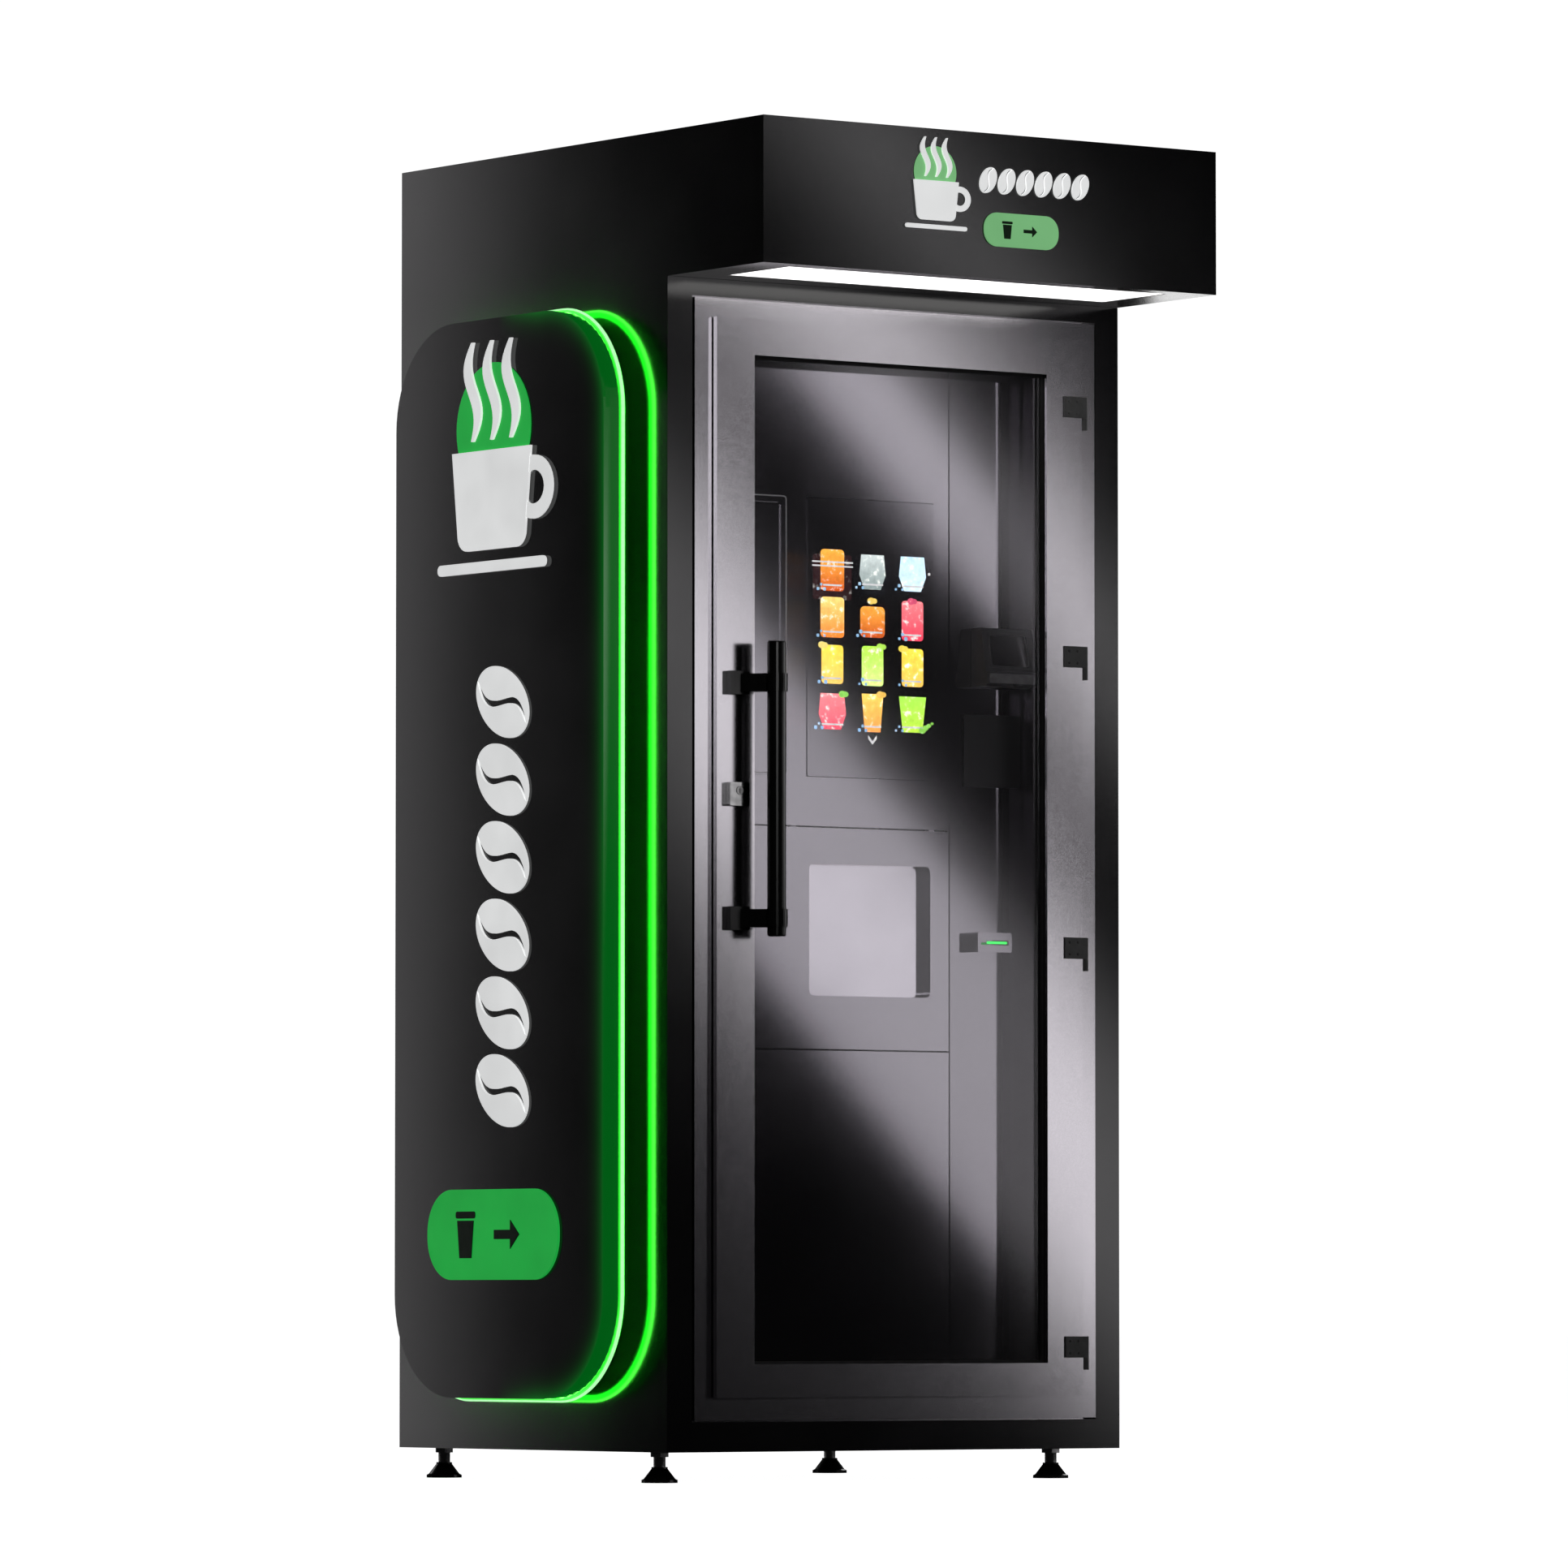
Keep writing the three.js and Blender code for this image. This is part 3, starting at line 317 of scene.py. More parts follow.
def tinted_glass():
    """Tinted pane: see-through body, a soft sheen that grows towards grazing angles, faint smears."""
    material = bpy.data.materials.new("tinted_pane")
    material.use_nodes = True
    tree = material.node_tree
    tree.nodes.clear()
    out = tree.nodes.new("ShaderNodeOutputMaterial")
    clear = tree.nodes.new("ShaderNodeBsdfTransparent")
    sheen = tree.nodes.new("ShaderNodeBsdfGlossy")
    mix = tree.nodes.new("ShaderNodeMixShader")
    place = tree.nodes.new("ShaderNodeTexCoord").outputs["Object"]
    smear = tree.nodes.new("ShaderNodeTexNoise")
    smear.inputs["Scale"].default_value = 5.0
    smear.inputs["Detail"].default_value = 5.0
    tree.links.new(place, smear.inputs["Vector"])
    rough = tree.nodes.new("ShaderNodeMapRange")
    rough.inputs["To Min"].default_value = GLASS_ROUGH[0]
    rough.inputs["To Max"].default_value = GLASS_ROUGH[1]
    tree.links.new(smear.outputs["Fac"], rough.inputs["Value"])
    tree.links.new(rough.outputs["Result"], sheen.inputs["Roughness"])
    clear.inputs["Color"].default_value = GLASS_TINT
    sheen.inputs["Color"].default_value = GLASS_SHEEN
    fresnel = tree.nodes.new("ShaderNodeFresnel")
    fresnel.inputs["IOR"].default_value = GLASS_IOR
    tree.links.new(fresnel.outputs["Fac"], mix.inputs["Fac"])
    tree.links.new(clear.outputs["BSDF"], mix.inputs[1])
    tree.links.new(sheen.outputs["BSDF"], mix.inputs[2])
    tree.links.new(mix.outputs["Shader"], out.inputs["Surface"])
    return material


BLACK = black_paint().material
SIGN_BLACK = sign_paint().material
DOOR_GREY = door_metal().material
MACHINE_GREY = machine_paint("machine_dark_metallic", 1.12).material
COLUMN_GREY = machine_paint("payment_column_metallic", 1.0).material
SCREEN_GREY = machine_paint("screen_smoked_glass", 0.95).material
NICHE_PANEL = niche_panel().material
GLOSS_BLACK = gloss_black().material
HANDLE_BLACK = gloss_black("handle_black", 0.14, 0.004, 0.3).material
TERMINAL_BLACK = textured_plastic("terminal_black", 0.022, 0.42).material
COVER_BLACK = textured_plastic("cover_black", 0.005, 0.5).material
LIP_GREY = textured_plastic("terminal_lip_grey", 0.10, 0.4).material
EDGE_GREY = brushed_steel("edge_grey", 0.30, 0.3).material
HINGE_BLACK = textured_plastic("hinge_black", 0.035, 0.42).material
TANK_PLASTIC = textured_plastic("tank_plastic", 0.12, 0.4).material
RUBBER = rubber().material
STEEL = brushed_steel().material
ZINC = brushed_steel("zinc_steel", 0.6, 0.34, (1.0, 1.0, 1.0)).material
CHROME_BLACK = black_chrome().material
FOOT = foot_finish().material
OPAL = opal_light().material
NEON_GREEN = neon("led_green", (0.01, 1.0, 0.015, 1), 17.0, (0.10, 0.85, 0.10, 1), 1.0).material
NEON_CORE = neon("led_core", (0.07, 1.0, 0.05, 1), 20.0, (0.46, 1.0, 0.47, 1), 1.05).material
SLOT_GREEN = neon("slot_green", (0.03, 1.0, 0.12, 1), 1.1, (0.03, 1.0, 0.12, 1), 1.1).material
# The last number of each lettering sheet is the strength of its painted glow.
LETTER_WHITE = acrylic("letter_white", (0.84, 0.85, 0.85, 1), 0.72).material
SIGN_GREEN = acrylic("sign_green", (0.014, 0.37, 0.052, 1), 0.85).material
LIGHT_GREEN = acrylic("fascia_green", (0.17, 0.43, 0.18, 1), 0.85).material
DARK_MARK = acrylic("pill_mark", (0.02, 0.06, 0.025, 1), 0.0).material
PANE = tinted_glass()

HINGE_HALVES = " ".join(f"hinge_{letter}_leaf_half hinge_{letter}_frame_half" for letter in HINGES)
FINISH = {
    BLACK: """base_frame left_side_panel right_side_panel back_panel roof_panel canopy_fascia canopy_soffit
        front_surround sign_back_frame""",
    SIGN_BLACK: "sign_plate",
    DOOR_GREY: "door_frame door_leaf",
    MACHINE_GREY: """machine_case upper_front_panel niche_front_panel lower_front_panel menu_frame
        niche_liner""",
    COLUMN_GREY: "payment_panel reader_bezel",
    NICHE_PANEL: "cup_hatch",
    SCREEN_GREY: "touchscreen",
    HANDLE_BLACK: "handle_tube handle_arm_top handle_arm_bottom",
    TERMINAL_BLACK: "card_terminal fan_housing fan_rotor grounds_bin",
    COVER_BLACK: "reader_cover_plate",
    TANK_PLASTIC: "bean_hopper water_tank",
    RUBBER: "glass_gasket door_seal",
    STEEL: "lock_plug lock_bolt drip_tray brew_group brew_piston grinder boiler",
    ZINC: "canopy_lamp_tray lock_case control_box",
    CHROME_BLACK: "lock_escutcheon",
    HINGE_BLACK: HINGE_HALVES,
    FOOT: " ".join(FEET),
    OPAL: "canopy_light_panel",
    NEON_GREEN: "sign_led_strip",
    PANE: "door_glass",
}
for material, names in FINISH.items():
    for name in names.split():
        NODES[name].data.materials.clear()
        NODES[name].data.materials.append(material)


# ---- mesh helpers ----------------------------------------------------------------------------------------
def shown(name, body, material, builder, matrix=None):
    """Makes a mesh object from a bmesh, gives it its finish and rides it on a body."""
    data = bpy.data.meshes.new(name)
    builder.normal_update()
    builder.to_mesh(data)
    builder.free()
    piece = bpy.data.objects.new(name, data)
    bpy.context.scene.collection.objects.link(piece)
    if matrix is not None:
        data.transform(matrix)
    data.materials.append(material)
    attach(piece, body)
    return piece


def shade_smooth(piece):
    for polygon in piece.data.polygons:
        polygon.use_smooth = True


def bevel(piece, width, segments=2, angle=35.0):
    """Rounds the edges that are sharper than an angle, with normals weighted to keep the faces flat."""
    modifier = piece.modifiers.new("edge", "BEVEL")
    modifier.width = width
    modifier.segments = segments
    modifier.limit_method = "ANGLE"
    modifier.angle_limit = math.radians(angle)
    modifier.harden_normals = False
    shade_smooth(piece)
    smooth = piece.modifiers.new("shade", "WEIGHTED_NORMAL")
    smooth.keep_sharp = True
    return piece


def face_matrix(origin, across, up):
    """Local x along across, local y along up, local z out of the face."""
    across, up = Vector(across).normalized(), Vector(up).normalized()
    out = across.cross(up)
    turn = Matrix((across, up, out)).transposed().to_4x4()
    return Matrix.Translation(Vector(origin)) @ turn


def slab_outline(points, thickness, holes=(), start=0.0):
    """A flat plate from z = start to start + thickness, with inner outlines as its holes."""
    builder = bmesh.new()
    loops = []
    for outline in (points, *holes):
        verts = [builder.verts.new((x, y, start)) for x, y in outline]
        loops.append([builder.edges.new(pair) for pair in zip(verts, verts[1:] + verts[:1])])
    edges = [edge for loop in loops for edge in loop]
    out = (0, 0, 1)
    filled = bmesh.ops.triangle_fill(builder, use_beauty=True, use_dissolve=True, edges=edges, normal=out)
    faces = [item for item in filled["geom"] if isinstance(item, bmesh.types.BMFace)]
    pulled = bmesh.ops.extrude_face_region(builder, geom=faces)
    top = [item for item in pulled["geom"] if isinstance(item, bmesh.types.BMVert)]
    bmesh.ops.translate(builder, verts=top, vec=(0, 0, thickness))
    bmesh.ops.recalc_face_normals(builder, faces=builder.faces)
    return builder


def rounded_outline(width, height, radius, steps=8, centre=(0.0, 0.0)):
    points = []
    corners = ((1, -1, -90), (1, 1, 0), (-1, 1, 90), (-1, -1, 180))
    for sx, sy, start in corners:
        cx = centre[0] + sx * (width / 2 - radius)
        cy = centre[1] + sy * (height / 2 - radius)
        for step in range(steps + 1):
            angle = math.radians(start + 90 * step / steps)
            points.append((cx + radius * math.cos(angle), cy + radius * math.sin(angle)))
    return points


def ellipse_outline(width, height, steps=40, centre=(0.0, 0.0)):
    turn = [2 * math.pi * step / steps for step in range(steps)]
    return [(centre[0] + width / 2 * math.cos(t), centre[1] + height / 2 * math.sin(t)) for t in turn]


def lathe(profile, steps=32):
    """A solid of revolution about local z from (radius, height) points that start and end on the axis."""
    builder = bmesh.new()
    rings = []
    for radius, height in profile:
        if radius == 0:
            rings.append([builder.verts.new((0, 0, height))])
            continue
        circle = ellipse_outline(2 * radius, 2 * radius, steps)
        rings.append([builder.verts.new((x, y, height)) for x, y in circle])
    for lower, upper in zip(rings, rings[1:]):
        for step in range(steps):
            ahead = (step + 1) % steps
            corners = [lower[step % len(lower)], lower[ahead % len(lower)]]
            corners += [upper[ahead % len(upper)], upper[step % len(upper)]]
            distinct = list(dict.fromkeys(corners))
            if len(distinct) > 2:
                builder.faces.new(distinct)
    bmesh.ops.recalc_face_normals(builder, faces=builder.faces)
    return builder


def joined(builders):
    """One bmesh from several."""
    whole = bmesh.new()
    for builder in builders:
        data = bpy.data.meshes.new("part")
        builder.to_mesh(data)
        builder.free()
        whole.from_mesh(data)
        bpy.data.meshes.remove(data)
    return whole


# ---- softened edges on the CAD pieces --------------------------------------------------------------------
FOOT_ROUNDING = 0.6 * MM
FOOT_EDGE_ANGLE = 28.0
EDGE_ROUNDING = {
    1.2: "door_leaf door_frame canopy_fascia lock_escutcheon handle_arm_top handle_arm_bottom",
    0.8: """front_surround left_side_panel right_side_panel roof_panel back_panel touchscreen
        reader_cover_plate""",
    1.5: "card_terminal reader_bezel sign_plate handle_tube",
    0.6: "upper_front_panel lower_front_panel payment_panel niche_front_panel menu_frame cup_hatch",
    0.5: HINGE_HALVES,
}
for width, names in EDGE_ROUNDING.items():
    for name in names.split():
        bevel(NODES[name], width * MM)
for name in FEET:
    bevel(NODES[name], FOOT_ROUNDING, 2, FOOT_EDGE_ANGLE)


# ---- pictograms ------------------------------------------------------------------------------------------
def cup_outline(width, height, taper=0.14, foot=0.12):
    """A mug's body seen from the side: straight rim, rounded foot."""
    half = width / 2
    points = [(-half, height), (half, height)]
    steps = 8
    radius = foot * width
    for side in (1, -1):
        centre = side * (half * (1 - taper) - radius)
        turn = [math.radians(90 * step / steps) for step in range(steps + 1)]
        arc = [(centre + side * radius * math.cos(t), radius - radius * math.sin(t)) for t in turn]
        points += arc[::side]
    return points[::-1]


def steam_outline(height, sway, thick, steps=18):
    """One wisp of steam: an S-shaped ribbon that thins towards both ends."""
    left, right = [], []
    for step in range(steps + 1):
        t = step / steps
        x = sway * math.sin(2 * math.pi * t)
        half = thick / 2 * (0.25 + 0.75 * math.sin(math.pi * t))
        left.append((x - half, t * height))
        right.append((x + half, t * height))
    return right + left[::-1]


def bean_halves(length, width, groove, steps=26):
    """Two halves of a coffee bean, lying along x, split by an S-shaped groove."""
    halves = []
    for sign in (1, -1):
        rim = []
        for step in range(steps + 1):
            t = math.pi * step / steps
            rim.append((length / 2 * math.cos(t), sign * width / 2 * math.sin(t)))
        cut = []
        for step in range(1, steps):
            x = -length / 2 + length * step / steps
            middle = 0.17 * width * math.sin(2 * math.pi * (x / length))
            fade = math.sin(math.pi * step / steps) ** 0.35
            cut.append((x, middle + sign * groove / 2 * fade))
        outline = rim + cut
        halves.append(outline if sign > 0 else outline[::-1])
    return halves


def arrow_outline(length, height):
    """An arrow along +x, with its tail at the origin."""
    shaft = height * 0.16
    neck = length - height * 0.55
    lower = [(0, -shaft), (neck, -shaft), (neck, -height / 2)]
    upper = [(x, -y) for x, y in reversed(lower)]
    return lower + [(length, 0)] + upper


def place_plates(name, matrix, outlines, thickness, material, start=0.0, rounding=0.4 * MM):
    """Flat raised plates on a face. Each outline is (points, holes)."""
    builders = [slab_outline(points, thickness, holes, start) for points, holes in outlines]
    piece = shown(name, "cabinet", material, joined(builders), matrix)
    return bevel(piece, rounding, 2, 50.0)


def shifted(points, dx, dy):
    return [(x + dx, y + dy) for x, y in points]


def turned(points, degrees):
    c, s = math.cos(math.radians(degrees)), math.sin(math.radians(degrees))
    return [(x * c - y * s, x * s + y * c) for x, y in points]


def cup_emblem(prefix, matrix, width, thickness, green):
    """A steaming mug on its saucer in white, in front of a green disc."""
    cup_w = width * 0.70
    cup_h = width * 0.50
    lift = thickness * 0.45
    disc = ellipse_outline(width * 0.66, width * 0.66, 48, (0, cup_h * 1.22))
    place_plates(prefix + "_disc", matrix, [(disc, ())], thickness * 0.5, green)
    centre = (cup_w * 0.53, cup_h * 0.58)
    handle = ellipse_outline(width * 0.34, width * 0.32, 32, centre)
    hole = ellipse_outline(width * 0.19, width * 0.17, 24, centre)[::-1]
    saucer = rounded_outline(width * 0.96, width * 0.055, width * 0.027, 6, (0, -width * 0.085))
    wisp = steam_outline(width * 0.50, width * 0.045, width * 0.082)
    wisps = [(shifted(wisp, dx * width, cup_h * 1.10), ()) for dx in (-0.17, 0.0, 0.17)]
    for part, outlines, thick in (
        ("handle", [(handle, (hole,))], thickness * 0.8),
        ("cup", [(cup_outline(cup_w, cup_h), ())], thickness),
        ("saucer", [(saucer, ())], thickness),
        ("steam", wisps, thickness),
    ):
        place_plates(f"{prefix}_{part}", matrix, outlines, thick, LETTER_WHITE, lift)


def bean_row(prefix, matrix, count, pitch, length, width, thickness):
    """Coffee beans in a row along local x, each turned a little."""
    outlines = []
    for index in range(count):
        offset = (index - (count - 1) / 2) * pitch
        for half in bean_halves(length, width, width * 0.11):
            outlines.append((shifted(turned(half, 62), offset, 0), ()))
    place_plates(prefix + "_beans", matrix, outlines, thickness, LETTER_WHITE)


def pill(prefix, matrix, width, height, radius, thickness, green):
    """A rounded tablet with a take-away cup and an arrow on it."""
    tablet = rounded_outline(width, height, radius, 14)
    place_plates(prefix + "_pill", matrix, [(tablet, ())], thickness, green)
    cup_h = height * 0.52
    cup_w = cup_h * 0.62
    foot, rim, top = cup_w * 0.36, cup_w / 2, cup_h * 0.30
    cup = [(-foot, -cup_h / 2), (foot, -cup_h / 2), (rim, top), (-rim, top)]
    lid = rounded_outline(cup_w * 1.18, cup_h * 0.15, cup_h * 0.05, 4, (0, cup_h * 0.42))
    arrow = arrow_outline(cup_h * 0.95, cup_h * 0.62)
    places = ((cup, -0.2), (lid, -0.2), (arrow, 0.02))
    marks = [(shifted(outline, width * share, 0), ()) for outline, share in places]
    place_plates(prefix + "_marks", matrix, marks, thickness * 0.35, DARK_MARK, thickness)


def sign_graphics():
    low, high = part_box("sign_plate")
    thickness = 5 * MM

    def spot(across, up):
        """A matrix on the sign's face, at shares of its width from the front edge and of its height."""
        y = low.y + (high.y - low.y) * across
        z = low.z + (high.z - low.z) * up
        return face_matrix((low.x, y, z), (0, -1, 0), (0, 0, 1))

    cup_emblem("sign", spot(0.52, 0.785), 0.345, thickness, SIGN_GREEN)
    column = spot(0.472, 0.463) @ Matrix.Rotation(math.pi / 2, 4, "Z")
    bean_row("sign", column, 6, 0.134, 0.168, 0.112, thickness)
    pill("sign", spot(0.515, 0.151), 0.40, 0.156, 0.074, thickness, SIGN_GREEN)


def fascia_graphics():
    low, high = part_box("canopy_fascia")
    thickness = 4 * MM
    width, height = high.x - low.x, high.z - low.z

    def spot(across, up):
        return face_matrix((low.x + width * across, low.y, low.z + height * up), (1, 0, 0), (0, 0, 1))

    cup_emblem("fascia", spot(0.371, 0.37), 0.135, thickness, LIGHT_GREEN)
    bean_row("fascia", spot(0.589, 0.675), 6, 0.0395, 0.048, 0.032, thickness)
    pill("fascia", spot(0.560, 0.340), 0.158, 0.058, 0.027, thickness, LIGHT_GREEN)


sign_graphics()
fascia_graphics()


# ---- LED strip's bright core -----------------------------------------------------------------------------
def closed_path_tube(name, points, radius, body, material):
    """A round tube along a closed path, as a mesh."""
    curve = bpy.data.curves.new(name, "CURVE")
    curve.dimensions = "3D"
    curve.bevel_depth = radius
    curve.bevel_resolution = 2
    spline = curve.splines.new("POLY")
    spline.points.add(len(points) - 1)
    for point, place in zip(spline.points, points):
        point.co = (*place, 1)
    spline.use_cyclic_u = True
    holder = bpy.data.objects.new(name + "_path", curve)
    bpy.context.scene.collection.objects.link(holder)
    data = bpy.data.meshes.new_from_object(holder.evaluated_get(bpy.context.evaluated_depsgraph_get()))
    bpy.data.objects.remove(holder)
    data.name = name
    data.materials.clear()
    data.materials.append(material)
    piece = bpy.data.objects.new(name, data)
    bpy.context.scene.collection.objects.link(piece)
    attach(piece, body)
    return piece


def led_core():
    """The bright line along the LED strip, round the sign's edge."""
    low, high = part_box("sign_led_strip")
    plate_low, plate_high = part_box("sign_plate")
    proud = plate_low.y - low.y
    radius = SIGN_CORNER + proud
    centre_y, centre_z = (low.y + high.y) / 2, (low.z + high.z) / 2
    outline = rounded_outline(high.y - low.y, high.z - low.z, radius, 20)
    x = (low.x + high.x) / 2 - 0.0005
    points = [(x, centre_y + a, centre_z + b) for a, b in outline]
    closed_path_tube("sign_led_core", points, LED_RADIUS, "cabinet", NEON_CORE)


led_core()


# ---- screen ----------------------------------------------------------------------------------------------
def drink_paint(name, top, bottom, low_z, high_z, strength=1.0):
    """Emissive picture colour that runs from bottom to top with cloudy variation."""
    s = Surface(name)
    run = s.spread(s.height(), 0.0, 1.0, (low_z, high_z))
    cloud = s.noise(75.0, 3.0, 0.6)
    shade = s.mix(run, bottom, top)
    light = s.mix(s.spread(cloud, 0.0, 0.75, (0.56, 0.72)), shade, (1.0, 0.98, 0.90, 1))
    s.colour(grey(0.01))
    s.rough(s.spread(cloud, 0.1, 0.2))
    return s.glow(light, s.spread(cloud, strength * 0.8, strength * 1.15)).material


def glass_outline(kind, width, height):
    """One of four drinking glasses seen from the side, round the origin."""
    half = width / 2
    if kind == "tall":
        return rounded_outline(width, height, width * 0.14, 4)
    if kind == "jar":
        return rounded_outline(width, height * 0.84, width * 0.16, 4, (0, -height * 0.08))
    if kind == "tumbler":
        right = [(half * 0.62, -height / 2), (half, -height * 0.08), (half * 0.86, height / 2)]
    else:
        right = [(half * 0.72, -height / 2), (half, height / 2)]
    foot, *wall = [(-x, y) for x, y in right]
    return [foot] + right + wall[::-1]


AMBER = ((1.0, 0.42, 0.05, 1), (0.55, 0.07, 0.004, 1))
HONEY = ((1.0, 0.66, 0.18, 1), (0.85, 0.20, 0.01, 1))
CLEAR = ((0.55, 0.62, 0.60, 1), (0.22, 0.28, 0.27, 1))
ICE = ((0.55, 0.80, 0.95, 1), (0.62, 0.82, 0.96, 1))
CHERRY = ((0.95, 0.20, 0.22, 1), (0.80, 0.04, 0.09, 1))
LEMON = ((1.0, 0.72, 0.06, 1), (0.95, 0.55, 0.10, 1))
LIME = ((0.40, 0.85, 0.05, 1), (0.70, 0.95, 0.25, 1))
ORANGE = ((1.0, 0.62, 0.10, 1), (0.95, 0.30, 0.05, 1))
GREEN = ((0.38, 0.85, 0.08, 1), (0.48, 0.80, 0.05, 1))
HONEY_FOAM = (1.0, 0.70, 0.15, 1)
BERRY = (0.8, 0.1, 0.2, 1)
PALE_LEMON = (1.0, 0.8, 0.2, 1)
DEEP_LEMON = (1.0, 0.8, 0.1, 1)
LIME_SLICE = (0.5, 0.9, 0.1, 1)
MINT = (0.3, 0.8, 0.1, 1)
ORANGE_SLICE = (1.0, 0.6, 0.1, 1)
DARK_MINT = (0.3, 0.75, 0.1, 1)
LEFT, MIDDLE, RIGHT, SPRIG = -1, 0, 1, 2  # where a garnish sits; a sprig lies beside the glass's foot
# Each drink: glass shape, width and height in mm, colours, and garnish colour and place (or None).
DRINKS = (
    ("tall", 50, 72, AMBER, None),
    ("tumbler", 56, 60, CLEAR, None),
    ("tumbler", 58, 60, ICE, None),
    ("tall", 50, 70, HONEY, None),
    ("jar", 52, 64, AMBER, (HONEY_FOAM, MIDDLE)),
    ("tall", 46, 69, CHERRY, (BERRY, MIDDLE)),
    ("tall", 46, 67, LEMON, (PALE_LEMON, LEFT)),
    ("tall", 46, 69, LIME, (LIME_SLICE, RIGHT)),
    ("tall", 46, 66, LEMON, (DEEP_LEMON, LEFT)),
    ("tumbler", 58, 62, CHERRY, (MINT, RIGHT)),
    ("cup", 46, 66, ORANGE, (ORANGE_SLICE, RIGHT)),
    ("cup", 58, 62, GREEN, (DARK_MINT, SPRIG)),
)
COLUMNS = 3
PICTURE_SKIN = 0.4 * MM  # each layer of the picture stands this far in front of the last


def picture_shape(name, points, material, dx, dz, layer=0):
    """A thin shape on the touchscreen's face, at a distance from its lower left corner."""
    low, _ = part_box("touchscreen")
    matrix = face_matrix((low.x + dx, low.y - layer * PICTURE_SKIN, low.z + dz), (1, 0, 0), (0, 0, 1))
    return shown(name, "cabinet", material, slab_outline(points, PICTURE_SKIN), matrix)


def ice_cubes(name, wide, half, paint, x, z):
    """Three small pale squares at a glass's foot."""
    for cube in range(3):
        side = (4 + 3 * random.random()) * MM
        dx = -wide * 0.62 + cube * 7 * MM
        dz = -half * (0.92 - 0.22 * (cube % 2))
        square = rounded_outline(side, side, side * 0.25, 2)
        picture_shape(f"{name}_ice_{cube + 1}", square, paint, x + dx, z + dz, 2)


def garnish(name, wide, half, paint, place, x, z):
    """Slices on a glass's rim, or a sprig of four leaves beside its foot."""
    for bit in range(4 if place == SPRIG else 2):
        size = (15 - 3 * bit) * MM
        dx = (RIGHT if place == SPRIG else place) * wide * 0.42 + (bit - 0.5) * 7 * MM
        dz = -half * 0.85 + 4 * MM * bit if place == SPRIG else half * 0.98
        slice_outline = ellipse_outline(size, size * 0.8, 14)
        picture_shape(f"{name}_garnish_{bit + 1}", slice_outline, paint, x + dx, z + dz, 2)


def screen_picture():
    """Twelve drinks in a grid, each with ice at its foot, and a scroll mark below them."""
    low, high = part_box("touchscreen")
    height = high.z - low.z
    width = high.x - low.x
    random.seed(7)
    ice_blue = drink_paint("ice_mark", (0.45, 0.75, 1.0, 1), (0.3, 0.6, 1.0, 1), low.z, high.z, 0.9)
    white = drink_paint("picture_white", grey(0.9), grey(0.8), low.z, high.z, 0.9)
    red = drink_paint("picture_red", (0.05, 0.004, 0.006, 1), (0.03, 0.002, 0.004, 1), low.z, high.z, 0.5)
    first_x, pitch_x = 0.195 * width, 0.318 * width
    first_z, pitch_z = 0.742 * height, 0.169 * height
    picture_shape("picture_tile", rounded_outline(0.082, 0.078, 0.004, 3), red, first_x, first_z - 0.012)
    for index, (kind, wide, tall, (top, bottom), extra) in enumerate(DRINKS):
        wide, half = wide * MM, tall * MM / 2
        x = first_x + (index % COLUMNS) * pitch_x
        z = first_z - (index // COLUMNS) * pitch_z
        middle = low.z + z
        paint = drink_paint(f"drink_{index + 1}", top, bottom, middle - half, middle + half, 1.5)
        name = f"picture_drink_{index + 1}"
        picture_shape(name, glass_outline(kind, wide, tall * MM), paint, x, z, 1)
        shine = rounded_outline(wide * 0.8, 3 * MM, 1.2 * MM, 2)
        picture_shape(name + "_shine", shine, white, x, z - half * 0.72, 2)
        ice_cubes(name, wide, half, ice_blue, x, z)
        if extra:
            shade, place = extra
            paint = drink_paint(f"garnish_{index + 1}", shade, shade, low.z, high.z, 1.1)
            garnish(name, wide, half, paint, place, x, z)
    for line in range(2):
        bar = rounded_outline(87 * MM, 2.6 * MM, 1.2 * MM, 2)
        picture_shape(f"picture_line_{line + 1}", bar, white, first_x, first_z + (14 - 7 * line) * MM, 3)
    chevron = [(-9, 6), (0, -4), (9, 6), (9, 0), (0, -10), (-9, 0)]
    mark = [(x * MM, z * MM) for x, z in chevron]
    picture_shape("picture_scroll_mark", mark, white, first_x + pitch_x, 0.142 * height)
    picture_shape("screen_camera", ellipse_outline(5 * MM, 5 * MM, 16), white, width * 0.965, 0.745 * height)


screen_picture()


# ---- smaller fittings ------------------------------------------------------------------------------------
SCREW_PROFILE = ((0, 0), (1, 0), (0.96, 0.28), (0.7, 0.5), (0.45, 0.56), (0.42, 0.2), (0, 0.2))


def screw(name, body, place, out, radius, material):
    """A button-head screw with a recess, its head standing out along a direction."""
    profile = [(radius * across, radius * up) for across, up in SCREW_PROFILE]
    turn = Vector(out).to_track_quat("Z", "Y").to_matrix().to_4x4()
    matrix = Matrix.Translation(Vector(place)) @ turn
    shade_smooth(shown(name, body, material, lathe(profile, 18), matrix))


def hinge_screws():
    """Four screws on each hinge's door half."""
    for letter in HINGES:
        low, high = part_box(f"hinge_{letter}_leaf_half")
        middle = (low.z + high.z) / 2
        for row, dz in enumerate((-10.5 * MM, 10.5 * MM)):
            for column, dx in enumerate((10 * MM, 28 * MM)):
                name = f"hinge_{letter}_screw_{row + 1}_{column + 1}"
                place = (low.x + dx, low.y + 0.3 * MM, middle + dz)
                screw(name, "door", place, (0, -1, 0), 2.6 * MM, HINGE_BLACK)


